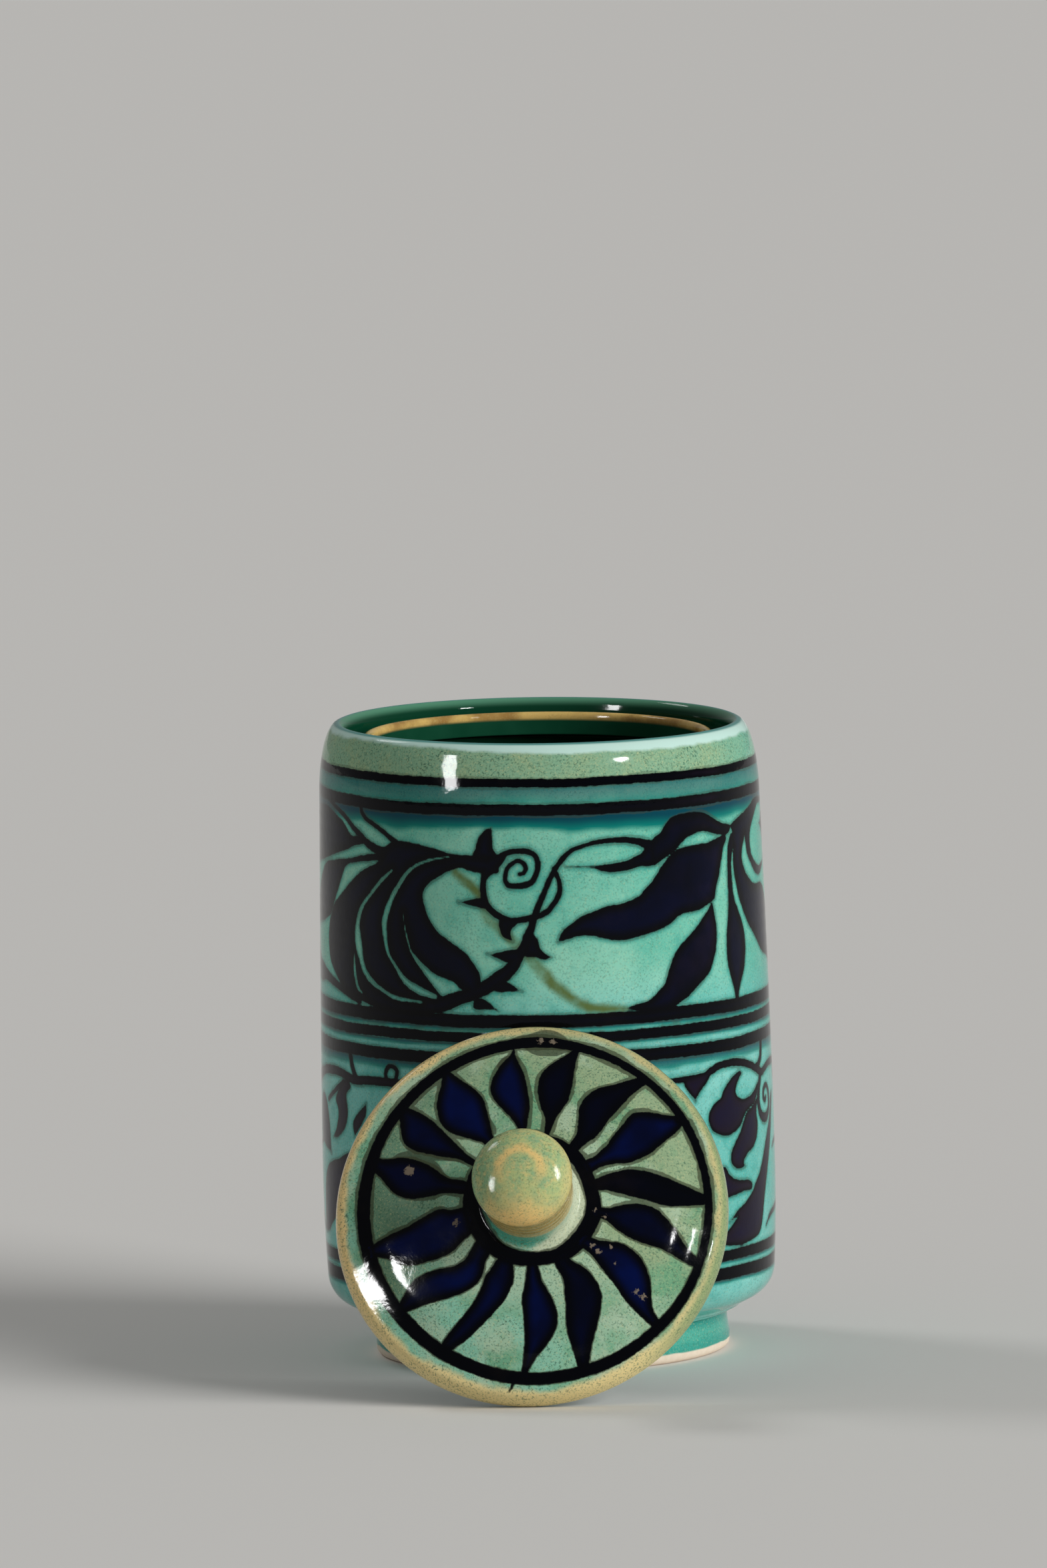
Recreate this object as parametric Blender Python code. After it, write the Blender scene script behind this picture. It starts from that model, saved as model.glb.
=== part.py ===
"""Lidded stoneware jar, with its lid taken off and leaning on the wall of the jar.

The potter's pieces are kept apart: the thrown body, the foot ring it stands on, the
gallery ring luted inside its rim, the domed lid and the knob on the lid. Fired slip
joins them, and each slip joint is modelled as a narrow gap. Lengths are millimetres
here and metres in the scene. The jar stands upright on the plane z = 0.
"""

import math

import bmesh
import bpy
from mathutils import Vector

MM = 0.001
TURN_STEPS = 64
SLIP_GAP = 0.3

# Jar body
JAR_HEIGHT = 156.4
RIM_RADIUS = 49.3
SHOULDER_RADIUS = 54.3
SHOULDER_DROP = 18.4
BELLY_RADIUS = 56.0
BELLY_HEIGHT = 45.0
HEEL_RADIUS = 55.3
HEEL_ROUNDING = 8.0
UNDERCUT_DEG = 28.0
WALL = 5.0
FLOOR = 7.0
FLOOR_ROUNDING = 9.0
RIM_BEVEL_DROP = 3.5

# Foot ring
FOOT_HEIGHT = 9.0
FOOT_NECK_RADIUS = 43.1
FOOT_RADIUS = 43.7
FOOT_WIDTH = 7.6
FOOT_ROUNDING = 1.8
FOOT_INNER_ROUNDING = 1.2

# Gallery ring, the ledge that the lid rests on
GALLERY_OUTER_RADIUS = 46.9
GALLERY_SEAT_DROP = 8.7
GALLERY_SEAT_WIDTH = 2.8
LIP_RADIUS = 40.6
LIP_WIDTH = 2.4
LIP_DROP = 2.8
TROUGH_DROP = 6.0
GALLERY_HAUNCH = 11.0

# Lid
LID_RADIUS = 48.0
LID_EDGE_ROUNDING = 1.5
LID_EDGE_RISE = 6.0
LID_EDGE_WIDTH = 4.8
LID_DOME_RISE = 7.7
LID_WALL = 5.0
LID_SEAT_WIDTH = 8.0

# Knob
KNOB_BASE_RADIUS = 12.7
KNOB_NECK_RADIUS = 9.6
KNOB_RADIUS = 12.1
KNOB_FLARE_HEIGHT = 4.4
KNOB_STEM_HEIGHT = 14.0
KNOB_CROWN_HEIGHT = 7.5

# How the lid leans
LID_LEAN_DEG = 25.0
LID_TURN_DEG = 6.0
LID_SIDE_OFFSET = -4.4

TURQUOISE = (0.17, 0.43, 0.39)
DARK_GREEN = (0.05, 0.16, 0.11)
CELADON = (0.33, 0.43, 0.32)
OCHRE = (0.45, 0.38, 0.18)
FIRED_CLAY = (0.62, 0.47, 0.38)
GLAZE_ROUGHNESS = 0.12
CLAY_ROUGHNESS = 0.75

# Heights above the table that more than one piece uses
body_bottom = FOOT_HEIGHT + SLIP_GAP
gallery_seat = JAR_HEIGHT - GALLERY_SEAT_DROP
rebate_radius = GALLERY_OUTER_RADIUS + SLIP_GAP
rim_bevel_foot = JAR_HEIGHT - RIM_BEVEL_DROP


def arc(center, radii, start_deg, end_deg, steps):
    """Points of an ellipse quarter or arc about a center, ends included."""
    points = []
    for step in range(steps + 1):
        angle = math.radians(start_deg + (end_deg - start_deg) * step / steps)
        points.append((center[0] + radii[0] * math.cos(angle), center[1] + radii[1] * math.sin(angle)))
    return points


def heel_center():
    """Center of the rounding that joins the wall to the undercut, tangent to both."""
    undercut = math.radians(UNDERCUT_DEG)
    center_radius = HEEL_RADIUS - HEEL_ROUNDING
    tangent_radius = center_radius + HEEL_ROUNDING * math.sin(undercut)
    tangent_height = body_bottom + (tangent_radius - FOOT_NECK_RADIUS) * math.tan(undercut)
    return center_radius, tangent_height + HEEL_ROUNDING * math.cos(undercut)


def wall_radius(height):
    """Outer radius of the jar between the heel and the rim."""
    heel_top = heel_center()[1]
    shoulder_height = JAR_HEIGHT - SHOULDER_DROP
    if height < BELLY_HEIGHT:
        below = (BELLY_HEIGHT - height) / (BELLY_HEIGHT - heel_top)
        return BELLY_RADIUS - (BELLY_RADIUS - HEEL_RADIUS) * min(below, 1.0) ** 2
    if height < shoulder_height:
        above = (height - BELLY_HEIGHT) / (shoulder_height - BELLY_HEIGHT)
        return BELLY_RADIUS - (BELLY_RADIUS - SHOULDER_RADIUS) * above ** 1.4
    up_rim = min((height - shoulder_height) / SHOULDER_DROP, 1.0)
    return RIM_RADIUS + (SHOULDER_RADIUS - RIM_RADIUS) * math.sqrt(1.0 - up_rim ** 2)


def heights_between(low, high, steps):
    """Evenly spaced heights from low to high, ends included."""
    return [low + (high - low) * step / steps for step in range(steps + 1)]


def jar_outline():
    """Half section of the body, from the outside rim down and back up the inside."""
    shoulder_height = JAR_HEIGHT - SHOULDER_DROP
    heel = heel_center()
    outside = arc((RIM_RADIUS, shoulder_height), (SHOULDER_RADIUS - RIM_RADIUS, SHOULDER_DROP), 90, 0, 7)
    for height in reversed(heights_between(heel[1], shoulder_height, 6)[:-1]):
        outside.append((wall_radius(height), height))
    outside += arc(heel, (HEEL_ROUNDING, HEEL_ROUNDING), 0, UNDERCUT_DEG - 90, 5)[1:]
    outside += [(FOOT_NECK_RADIUS, body_bottom), (0.0, body_bottom)]

    floor_top = body_bottom + FLOOR
    corner_height = floor_top + FLOOR_ROUNDING
    corner_radius = wall_radius(corner_height) - WALL
    inside = [(0.0, floor_top)]
    inside += arc((corner_radius - FLOOR_ROUNDING, corner_height), (FLOOR_ROUNDING, FLOOR_ROUNDING), -90, 0, 4)
    haunch_height = gallery_seat - GALLERY_HAUNCH
    for height in heights_between(corner_height, haunch_height, 3)[1:]:
        inside.append((wall_radius(height) - WALL, height))
    seat_radius = rebate_radius - GALLERY_SEAT_WIDTH
    inside += [(seat_radius, gallery_seat - GALLERY_SEAT_WIDTH / 2), (seat_radius, gallery_seat)]
    inside.append((rebate_radius, gallery_seat))
    inside += arc((RIM_RADIUS, rim_bevel_foot), (RIM_RADIUS - rebate_radius, RIM_BEVEL_DROP), 180, 90, 3)[:-1]
    return outside + inside


def foot_outline():
    """Closed half section of the foot ring, a little wider below its neck."""
    stand_outer = FOOT_RADIUS - FOOT_ROUNDING
    inner = FOOT_RADIUS - FOOT_WIDTH
    outside = [(FOOT_NECK_RADIUS, FOOT_HEIGHT), (FOOT_RADIUS, FOOT_HEIGHT / 2)]
    outside += arc((stand_outer, FOOT_ROUNDING), (FOOT_ROUNDING, FOOT_ROUNDING), 0, -90, 4)
    inner_center = (inner + FOOT_INNER_ROUNDING, FOOT_INNER_ROUNDING)
    inside = arc(inner_center, (FOOT_INNER_ROUNDING, FOOT_INNER_ROUNDING), -90, -180, 3)
    return outside + inside + [(inner, FOOT_HEIGHT)]


def gallery_outline():
    """Closed half section of the gallery: outer wall, trough and raised inner lip."""
    bottom = gallery_seat + SLIP_GAP
    trough = JAR_HEIGHT - TROUGH_DROP
    lip_top = JAR_HEIGHT - LIP_DROP
    lip_center = (LIP_RADIUS + LIP_WIDTH / 2, lip_top - LIP_WIDTH / 2)
    trough_radius = (GALLERY_OUTER_RADIUS + lip_center[0] + LIP_WIDTH / 2) / 2
    half_trough = GALLERY_OUTER_RADIUS - trough_radius
    outer_top = rim_bevel_foot - SLIP_GAP
    outside = [(GALLERY_OUTER_RADIUS, bottom), (LIP_RADIUS + LIP_WIDTH, bottom)]
    lip = arc(lip_center, (LIP_WIDTH / 2, LIP_WIDTH / 2), 180, 0, 6)
    outer_wall = arc((trough_radius, outer_top), (half_trough, outer_top - trough), -90, 0, 3)
    return outside + lip + outer_wall


def lid_outline():
    """Half section of the lid: flat top seat for the knob, dome, rounded edge, hollow underside."""
    edge_inner = LID_RADIUS - LID_EDGE_WIDTH
    knob_seat = LID_EDGE_RISE + LID_DOME_RISE
    top = [(0.0, knob_seat), (KNOB_BASE_RADIUS, knob_seat)]
    top += arc((edge_inner, 0.0), (LID_EDGE_WIDTH, LID_EDGE_RISE), 90, 0, 6)
    tube = LID_RADIUS - LID_EDGE_ROUNDING
    under = arc((tube, 0.0), (LID_EDGE_ROUNDING, LID_EDGE_ROUNDING), 0, -90, 3)[1:]
    hollow_radius = tube - LID_SEAT_WIDTH
    dome_slope = LID_DOME_RISE / (edge_inner - KNOB_BASE_RADIUS)
    hollow_edge = LID_EDGE_RISE - LID_WALL + dome_slope * (edge_inner - hollow_radius)
    hollow_top = knob_seat - LID_WALL
    under += [(hollow_radius, -LID_EDGE_ROUNDING), (hollow_radius - LID_WALL / 2, hollow_edge)]
    return top + under + [(KNOB_BASE_RADIUS, hollow_top), (0.0, hollow_top)]


def knob_outline():
    """Half section of the knob: flared base, stem that widens upward, low rounded crown."""
    flare_width = KNOB_BASE_RADIUS - KNOB_NECK_RADIUS
    stem_top = KNOB_FLARE_HEIGHT + KNOB_STEM_HEIGHT
    crown = arc((0.0, stem_top), (KNOB_RADIUS, KNOB_CROWN_HEIGHT), 90, 0, 7)
    flare = arc((KNOB_BASE_RADIUS, KNOB_FLARE_HEIGHT), (flare_width, KNOB_FLARE_HEIGHT), 180, 270, 4)
    return crown + flare + [(0.0, 0.0)]


def glaze(name, color, roughness):
    """Principled material with one plain colour."""
    material = bpy.data.materials.new(name)
    material.use_nodes = True
    shader = material.node_tree.nodes["Principled BSDF"]
    shader.inputs["Base Color"].default_value = (*color, 1.0)
    shader.inputs["Roughness"].default_value = roughness
    shader.inputs["Metallic"].default_value = 0.0
    return material


def turned_piece(name, outline, material, parent):
    """Spin a half section about its own Z axis into one closed, smooth-shaded solid.

    The section is a closed outline. An edge of it that lies on the axis sweeps no face.
    """
    shape = bmesh.new()
    section = [shape.verts.new((radius * MM, 0.0, height * MM)) for radius, height in outline]
    edges = []
    for start, end in zip(section, section[1:] + section[:1]):
        if start.co.x > 0.0 or end.co.x > 0.0:
            edges.append(shape.edges.new((start, end)))
    bmesh.ops.spin(
        shape, geom=section + edges, cent=(0, 0, 0), axis=(0, 0, 1),
        angle=math.tau, steps=TURN_STEPS, use_merge=True,
    )
    bmesh.ops.remove_doubles(shape, verts=shape.verts, dist=SLIP_GAP * MM / 100)
    bmesh.ops.recalc_face_normals(shape, faces=shape.faces)
    mesh = bpy.data.meshes.new(name)
    shape.to_mesh(mesh)
    shape.free()
    mesh.shade_smooth()
    mesh.set_sharp_from_angle(angle=math.radians(35))
    mesh.materials.append(material)
    piece = bpy.data.objects.new(name, mesh)
    piece.parent = parent
    bpy.context.collection.objects.link(piece)
    return piece


def empty(name, parent):
    """Plain empty that carries the pieces of one body."""
    carrier = bpy.data.objects.new(name, None)
    carrier.parent = parent
    bpy.context.collection.objects.link(carrier)
    return carrier


def lid_edge_gap(center, tube):
    """Smallest distance from the lid's edge circle to the jar wall, at the lid's lean and turn."""
    lean = math.radians(LID_LEAN_DEG)
    turn = math.radians(LID_TURN_DEG)
    across = Vector((math.cos(turn), -math.sin(turn), 0.0))
    up_slope = Vector((math.sin(lean) * math.sin(turn), math.sin(lean) * math.cos(turn), math.cos(lean)))
    gaps = []
    for degree in range(0, 180):
        angle = math.radians(degree)
        point = center + tube * (math.cos(angle) * across + math.sin(angle) * up_slope)
        gaps.append(math.hypot(point.x, point.y) - wall_radius(point.z))
    return min(gaps)


def leaning_lid_center():
    """Place of the lid's edge center: standing on the table, its edge against the wall."""
    tube = LID_RADIUS - LID_EDGE_ROUNDING
    height = tube * math.cos(math.radians(LID_LEAN_DEG)) + LID_EDGE_ROUNDING
    wanted = LID_EDGE_ROUNDING + SLIP_GAP
    near = BELLY_RADIUS
    far = BELLY_RADIUS + 2 * LID_RADIUS
    for _ in range(40):
        middle = (near + far) / 2
        if lid_edge_gap(Vector((LID_SIDE_OFFSET, -middle, height)), tube) < wanted:
            near = middle
        else:
            far = middle
    return Vector((LID_SIDE_OFFSET, -far, height))


def center_on_base(root):
    """Move the whole jar so that the middle of its footprint lies on the origin."""
    bpy.context.view_layer.update()
    corners = []
    for piece in bpy.data.objects:
        if piece.type == "MESH":
            corners += [piece.matrix_world @ vertex.co for vertex in piece.data.vertices]
    for axis in (0, 1):
        low = min(corner[axis] for corner in corners)
        high = max(corner[axis] for corner in corners)
        root.location[axis] -= (low + high) / 2


def main():
    """Build the jar and the leaning lid."""
    for old in list(bpy.data.objects):
        bpy.data.objects.remove(old, do_unlink=True)

    jar = empty("jar", None)
    turned_piece("jar_body", jar_outline(), glaze("turquoise_glaze", TURQUOISE, GLAZE_ROUGHNESS), jar)
    turned_piece("foot_ring", foot_outline(), glaze("fired_clay", FIRED_CLAY, CLAY_ROUGHNESS), jar)
    turned_piece("gallery_ring", gallery_outline(), glaze("gallery_glaze", DARK_GREEN, GLAZE_ROUGHNESS), jar)

    lid = empty("lid", jar)
    lid.location = leaning_lid_center() * MM
    lid.rotation_euler = (math.radians(90 - LID_LEAN_DEG), 0.0, math.radians(-LID_TURN_DEG))
    turned_piece("lid_plate", lid_outline(), glaze("lid_glaze", CELADON, GLAZE_ROUGHNESS), lid)
    knob = turned_piece("lid_knob", knob_outline(), glaze("knob_glaze", OCHRE, GLAZE_ROUGHNESS), lid)
    knob.location.z = (LID_EDGE_RISE + LID_DOME_RISE + SLIP_GAP) * MM

    center_on_base(jar)


main()
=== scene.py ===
"""Looks of a hand-painted, turquoise-glazed pottery jar with its lid leaning on it.

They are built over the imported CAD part, in the part's own frame, with lengths in metres. The painting is
laid out on the unrolled wall: each point is (degrees round the jar from the front, to the right;
millimetres above the table).
"""

import math

import bpy
import numpy as np
from mathutils import Matrix, Vector


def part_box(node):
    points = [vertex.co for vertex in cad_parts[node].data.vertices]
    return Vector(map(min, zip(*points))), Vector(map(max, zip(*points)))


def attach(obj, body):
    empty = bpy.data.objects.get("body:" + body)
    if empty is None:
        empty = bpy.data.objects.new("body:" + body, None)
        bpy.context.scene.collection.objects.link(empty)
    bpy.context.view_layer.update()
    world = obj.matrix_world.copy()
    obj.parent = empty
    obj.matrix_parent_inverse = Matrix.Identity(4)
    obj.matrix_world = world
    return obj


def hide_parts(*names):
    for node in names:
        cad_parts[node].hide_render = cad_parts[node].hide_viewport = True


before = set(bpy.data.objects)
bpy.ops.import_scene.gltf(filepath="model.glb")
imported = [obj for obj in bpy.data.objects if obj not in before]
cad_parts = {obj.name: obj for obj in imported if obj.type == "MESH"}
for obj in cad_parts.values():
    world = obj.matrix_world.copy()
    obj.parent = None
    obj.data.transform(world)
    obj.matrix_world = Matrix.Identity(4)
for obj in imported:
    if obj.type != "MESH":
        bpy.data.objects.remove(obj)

bl_info = {
    "name": "Painted Pottery Jar",
    "version": (1, 0, 0),
    "blender": (4, 5, 0),
    "location": "3D View > Sidebar > Pottery",
    "description": "Builds the glazed and painted looks of a lidded pottery jar over its CAD part",
    "category": "Add Mesh",
}

MM = 0.001
PHOTO_HEIGHT = 2349

# The unrolled wall: one degree is this many millimetres of paint.
PAINT_RADIUS = 55.3
MM_PER_DEGREE = math.pi / 180.0 * PAINT_RADIUS
# Distances to the paint are worked out up to this many millimetres.
FAR = 4.0

# Painted lines round the wall: (upper edge, lower edge) in millimetres.
LINE_RIM = (148.15, 146.05)
LINE_SHOULDER = (141.95, 139.15)
LINES_MIDDLE = ((90.4, 87.2), (85.9, 83.3), (80.9, 77.9))
LINES_HEEL = ((28.4, 25.7), (24.1, 21.05))

# How far blue ran down from each line in millimetres, and how strongly.
LINE_BLEEDS = (
    (LINE_RIM, 6.5, 0.68),
    (LINE_SHOULDER, 4.8, 1.0),
    (LINES_MIDDLE[0], 1.4, 0.85),
    (LINES_MIDDLE[1], 1.4, 0.85),
    (LINES_MIDDLE[2], 3.0, 0.85),
    (LINES_HEEL[0], 1.2, 0.8),
    (LINES_HEEL[1], 1.4, 0.8),
)
# Such a run starts inside its line. Its length wavers by a share, and its end is soft over a share.
RUN_OVERLAP = 0.3
RUN_WAVER = 0.22
RUN_SHORTEST = 0.2
RUN_END = 0.28
RUN_SEED = 40

# Any painted edge smears down this far, this strongly, from paint with this soft an edge in millimetres.
SMEAR = 1.8
SMEAR_STRENGTH = 0.5
SMEAR_SOFTNESS = 0.5

# How far the lines waver, and the heights that the friezes reach, in millimetres.
LINE_WAVER = 0.16
UPPER_FRIEZE_LOW = 87.0
LOWER_FRIEZE_HIGH = 79.0

# Sizes of the turned pieces that the panel has no property for, in metres, with the steps of their meshes.
# Profiles are (radius, height) points, and stop short of the axis, where a cap closes them.
AXIS_GAP = 0.0010

# Rim and heel: the bevel is (across, down), the heel's curve turns this many degrees.
RIM_BEVEL = (0.0021, 0.0035)
HEEL_TOP = 0.0204
HEEL_CENTER = 0.0473
HEEL_TURN = -62.0
HEEL_STEP = 0.0003

# Underside: fine out to the ridges left by turning, every few points further in.
UNDER_EDGE = 0.0431
UNDER_FINE = 0.0430
UNDER_SPARSE = 12
UNDER_MIDDLE = 0.0300
UNDER_RIDGES = (0.0446, 0.0466)
RIDGE_HEIGHT = 0.0003
RIDGE_WIDTH = 0.0005

# Inside of the jar, up to the rebate that the gallery stands in.
INSIDE_LOW = 0.0253
INSIDE_HIGH = 0.1367
INSIDE_FLOOR = 0.0163
INSIDE_STEP = 0.0016
FLOOR_ROUNDING = 0.009
MOUTH_REBATE = ((0.0444, 0.1477), (0.0472, 0.1477), (0.0472, 0.1529))

# Foot ring: its outside is given as (inset from the widest place, height).
FOOT_TOP = 0.0096
FOOT_WIDTH = 0.0076
FOOT_INSETS = ((0.0006, FOOT_TOP), (0.0005, 0.0070), (0.0, 0.0035))
FOOT_OUTER_ROUNDING = 0.0018
FOOT_INNER_ROUNDING = 0.0012
FOOT_STEP = 0.0004

# Gallery ring: a raised lip, and a trough outside it.
LIP_INNER = 0.0406
LIP_OUTER = 0.0430
TROUGH_OUTER_HEIGHT = 0.1512
TROUGH_OUTER_ROUNDING = 0.0008
TROUGH_INNER_HEIGHT = 0.1516
TROUGH_INNER_ROUNDING = 0.0012
GALLERY_STEP = 0.0003

# Lid: the face runs on a little under the knob, and the underside has a flat rim round a hollow.
SEAT_OVERLAP = 0.003
LID_FACE_STEP = 0.00034
LID_FLAT_RADIUS = 0.0385
LID_HOLLOW = ((0.0360, 0.0030), (0.0127, 0.0087), (AXIS_GAP, 0.0087))
LID_UNDER_STEP = 0.0010

# Knob: flare (across, up), stem, crown (half width, height), and grooves between two heights of the stem.
KNOB_FLARE = (0.0016, 0.0036)
KNOB_STEM = ((0.01115, 0.0060), (0.01135, 0.0100), (0.01150, 0.0145), (0.01155, 0.0164))
KNOB_CROWN = (0.0122, 0.0078)
KNOB_CROWN_HEIGHT = 0.0181
KNOB_OFF_AXIS = (0.0008, 0.0004)
KNOB_STEP = 0.00025
GROOVE_DEPTH = 0.00004
GROOVE_PITCH = 0.0024
GROOVES_FROM = 0.007
GROOVES_TO = 0.015

# The unevenness of throwing: shares of the radius, then the pitch and depth of the finger lines.
OVAL_SHARE = 0.0012
THREE_SIDED_SHARE = 0.0008
THROWING_PITCH = 0.0034
THROWING_DEPTH = 0.000006
TILT_HEIGHT = 0.15
LID_SWELL = 0.000018
LID_SWELL_FROM = 0.013

# The wall is built as bands that meet under painted lines: (name, top, bottom, mesh step) in metres.
# The first one starts at the rim.
WALL_BANDS = (
    ("wall_rim", None, 0.1430, 0.00035),
    ("wall_upper_frieze", 0.1430, 0.0880, 0.00046),
    ("wall_middle_lines", 0.0880, 0.0780, 0.0004),
    ("wall_lower_frieze", 0.0780, 0.0280, 0.00046),
    ("wall_heel", 0.0280, HEEL_TOP, 0.0004),
)

# Lights that give reflections only, on the pieces named last. Each is (name, shape, direction as azimuth
# and elevation, roll, size as width and height, power property, pieces), in degrees and metres.
JAR_RECEIVERS = (*(band[0] for band in WALL_BANDS), "gallery_ring_look", "foot_ring_look")
LID_RECEIVERS = ("lid_face",)
KNOB_RECEIVERS = ("knob_look",)
HIGHLIGHTS = (
    ("window_light", "RECTANGLE", (-50.0, 22.0), 10.0, (0.18, 0.78), "window_power", JAR_RECEIVERS),
    ("small_lamp", "ELLIPSE", (48.0, 28.4), 0.0, (0.20, 0.11), "lamp_power", JAR_RECEIVERS),
    ("lid_window", "RECTANGLE", (-43.9, 19.8), 0.0, (0.17, 0.17), "lid_window_power", LID_RECEIVERS),
    ("lid_lamp", "ELLIPSE", (29.5, 27.3), 0.0, (0.06, 0.13), "lid_lamp_power", LID_RECEIVERS),
    ("knob_window", "RECTANGLE", (-58.0, 9.7), 0.0, (0.14, 0.5), "knob_window_power", KNOB_RECEIVERS),
    ("knob_lamp", "ELLIPSE", (64.4, 21.8), 0.0, (0.26, 0.6), "knob_lamp_power", KNOB_RECEIVERS),
)
# Broad lights: direction as azimuth and elevation, and width, in degrees.
DAYLIGHT_FROM = (57.0, 22.0)
DAYLIGHT_WIDTH = 32.0
BACK_LIGHT_FROM = (-126.0, 45.0)
BACK_LIGHT_WIDTH = 14.0
LIGHT_DISTANCE = 1.5
LIGHT_TARGET = (0.0, 0.0, 0.08)
FLOOR_HALF = 14.0

# Upper frieze: leaves as closed outlines. A point given twice is a sharp tip.
LEAF_TOP_LEFT = (
    (-98, 131), (-98, 131), (-88, 136.2), (-80, 137.6), (-72, 137.6), (-66.5, 136), (-62.4, 134.7),
    (-58.6, 132), (-54, 132), (-51, 130.5), (-51, 130.5), (-55.8, 129.8), (-61.7, 128), (-70, 126),
    (-80, 123.8), (-88, 123.7),
)
LEAF_SIDE_LEFT = (
    (-45, 128.5), (-45, 128.5), (-51.4, 127.8), (-59.3, 126.2), (-69.3, 124.8), (-75.2, 123.5),
    (-80, 120.3), (-84.5, 116.3), (-90, 112), (-95, 109.4), (-90, 107.8), (-80, 108.7), (-74.2, 110.2),
    (-71, 111.5), (-68.6, 114.6), (-65.9, 118), (-63.8, 121), (-61, 124.3), (-54.8, 125.7), (-46.9, 126.8),
)
CLUSTER = (
    (-13, 128.6), (-17.5, 129.3), (-24, 129.6), (-30, 131), (-40, 132), (-45, 129.6), (-46.5, 126.7),
    (-51.4, 124.5), (-54.8, 123), (-60, 119.7), (-63.1, 117.5), (-68.6, 114), (-71, 111), (-72.3, 109),
    (-73.1, 105.5), (-72.6, 102), (-71.4, 99.7), (-67.2, 96.5), (-62, 93.4), (-54, 91.6), (-45, 90),
    (-30, 90), (-22, 92.5), (-17, 95.5), (-16.3, 98.7), (-16.7, 100.7), (-18.9, 104), (-21, 106),
    (-25.5, 108.7), (-27.9, 110.3), (-29.6, 112.3), (-31, 114.7), (-32.2, 118.3), (-31.9, 120),
    (-30.7, 121.7), (-28.9, 123), (-24.8, 125.2), (-21.3, 126.3), (-19.3, 125.7), (-15.1, 125),
    (-11, 125.4),
)
LEAF_BELOW_SPIRAL = (
    (6.9, 126.5), (6.9, 126.5), (13.8, 126.6), (17.3, 126.8), (21.4, 127.2), (24.2, 128), (26.6, 129),
    (28, 130.6), (30, 131), (31, 128), (29.7, 125.8), (26.3, 125.7), (22.1, 125), (18.7, 124.7),
    (15.5, 125.2), (13.1, 126),
)
LEAF_TOP_RIGHT = (
    (29, 131), (32.5, 133.7), (34.2, 135.7), (36.3, 137.2), (39.7, 137.8), (44.6, 137.8), (47.7, 137.2),
    (50, 136.2), (54, 134.3), (59, 133.2), (59, 133.2), (57, 131), (52, 131.5), (47.7, 132.7),
    (44.9, 132.7), (42.2, 132), (40.1, 131.3), (38, 129.7), (35.9, 128.3), (33.9, 127.5), (29.7, 125.8),
)
LEAF_MIDDLE_RIGHT = (
    (3.8, 108.2), (3.8, 108.2), (4.3, 109.7), (5.5, 111.3), (7.6, 112.8), (10, 114.3), (13.1, 115.3),
    (16.6, 116.5), (20, 116.8), (23.5, 117.7), (25.9, 118.7), (27.6, 120.3), (29.7, 122), (32.1, 125),
    (33.9, 126.8), (36.6, 128.7), (39.7, 129.5), (44.2, 129.7), (48.4, 129.8), (52, 130.5), (55.5, 131),
    (56.4, 130), (55, 128.3), (54.2, 126.3), (53.3, 123.7), (52.3, 121), (51.2, 118.7), (50.3, 116),
    (49.2, 115.3), (44.9, 113.7), (42.2, 113.4), (39.4, 113.2), (37.3, 112.7), (35.9, 111.8),
    (33.9, 110.7), (31.8, 110), (29, 109.3), (24.9, 108.5), (21.4, 107.9), (18.7, 108), (15.9, 108.5),
    (13.1, 109.3), (10.4, 109.5), (8.3, 109.3), (6.2, 108.7),
)
LEAF_HANGING_RIGHT = (
    (49.2, 115), (49.8, 113), (50.3, 110.3), (50.6, 108), (50.4, 105.3), (49.9, 103), (48.7, 100.3),
    (47.3, 98), (44.9, 96.2), (42.5, 94.7), (39.7, 92.8), (36.6, 91.3), (33, 89.8), (27, 89.8),
    (20.7, 91), (20.7, 91), (24.2, 92), (27, 92.5), (29, 93.7), (30.8, 95.2), (32.1, 96.3), (33.2, 98.7),
    (34.2, 101), (35.6, 103.5), (37.3, 105.3), (39.7, 107), (42.5, 109), (44.9, 111), (47, 112.8),
    (48.4, 114.3),
)
LEAF_SPEAR = (
    (59, 131), (57.8, 129.7), (56.9, 128), (56.6, 125.7), (56.4, 123), (56.2, 119.7), (56.2, 115.3),
    (55.9, 112.3), (55.4, 109.7), (54.8, 106.7), (54.6, 103.7), (54.6, 101), (55, 98.3), (56.1, 95.3),
    (57.1, 93), (57.8, 90), (59.3, 90), (59.5, 92), (61.2, 94.7), (62.6, 97), (63.5, 99.7), (63.9, 102.3),
    (63.8, 105), (63.1, 107.7), (61.9, 110), (60.5, 112.3), (59.3, 114.3), (58.5, 117), (58.2, 122.3),
    (58.4, 124.3), (59, 126.3), (60.5, 129),
)
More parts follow.
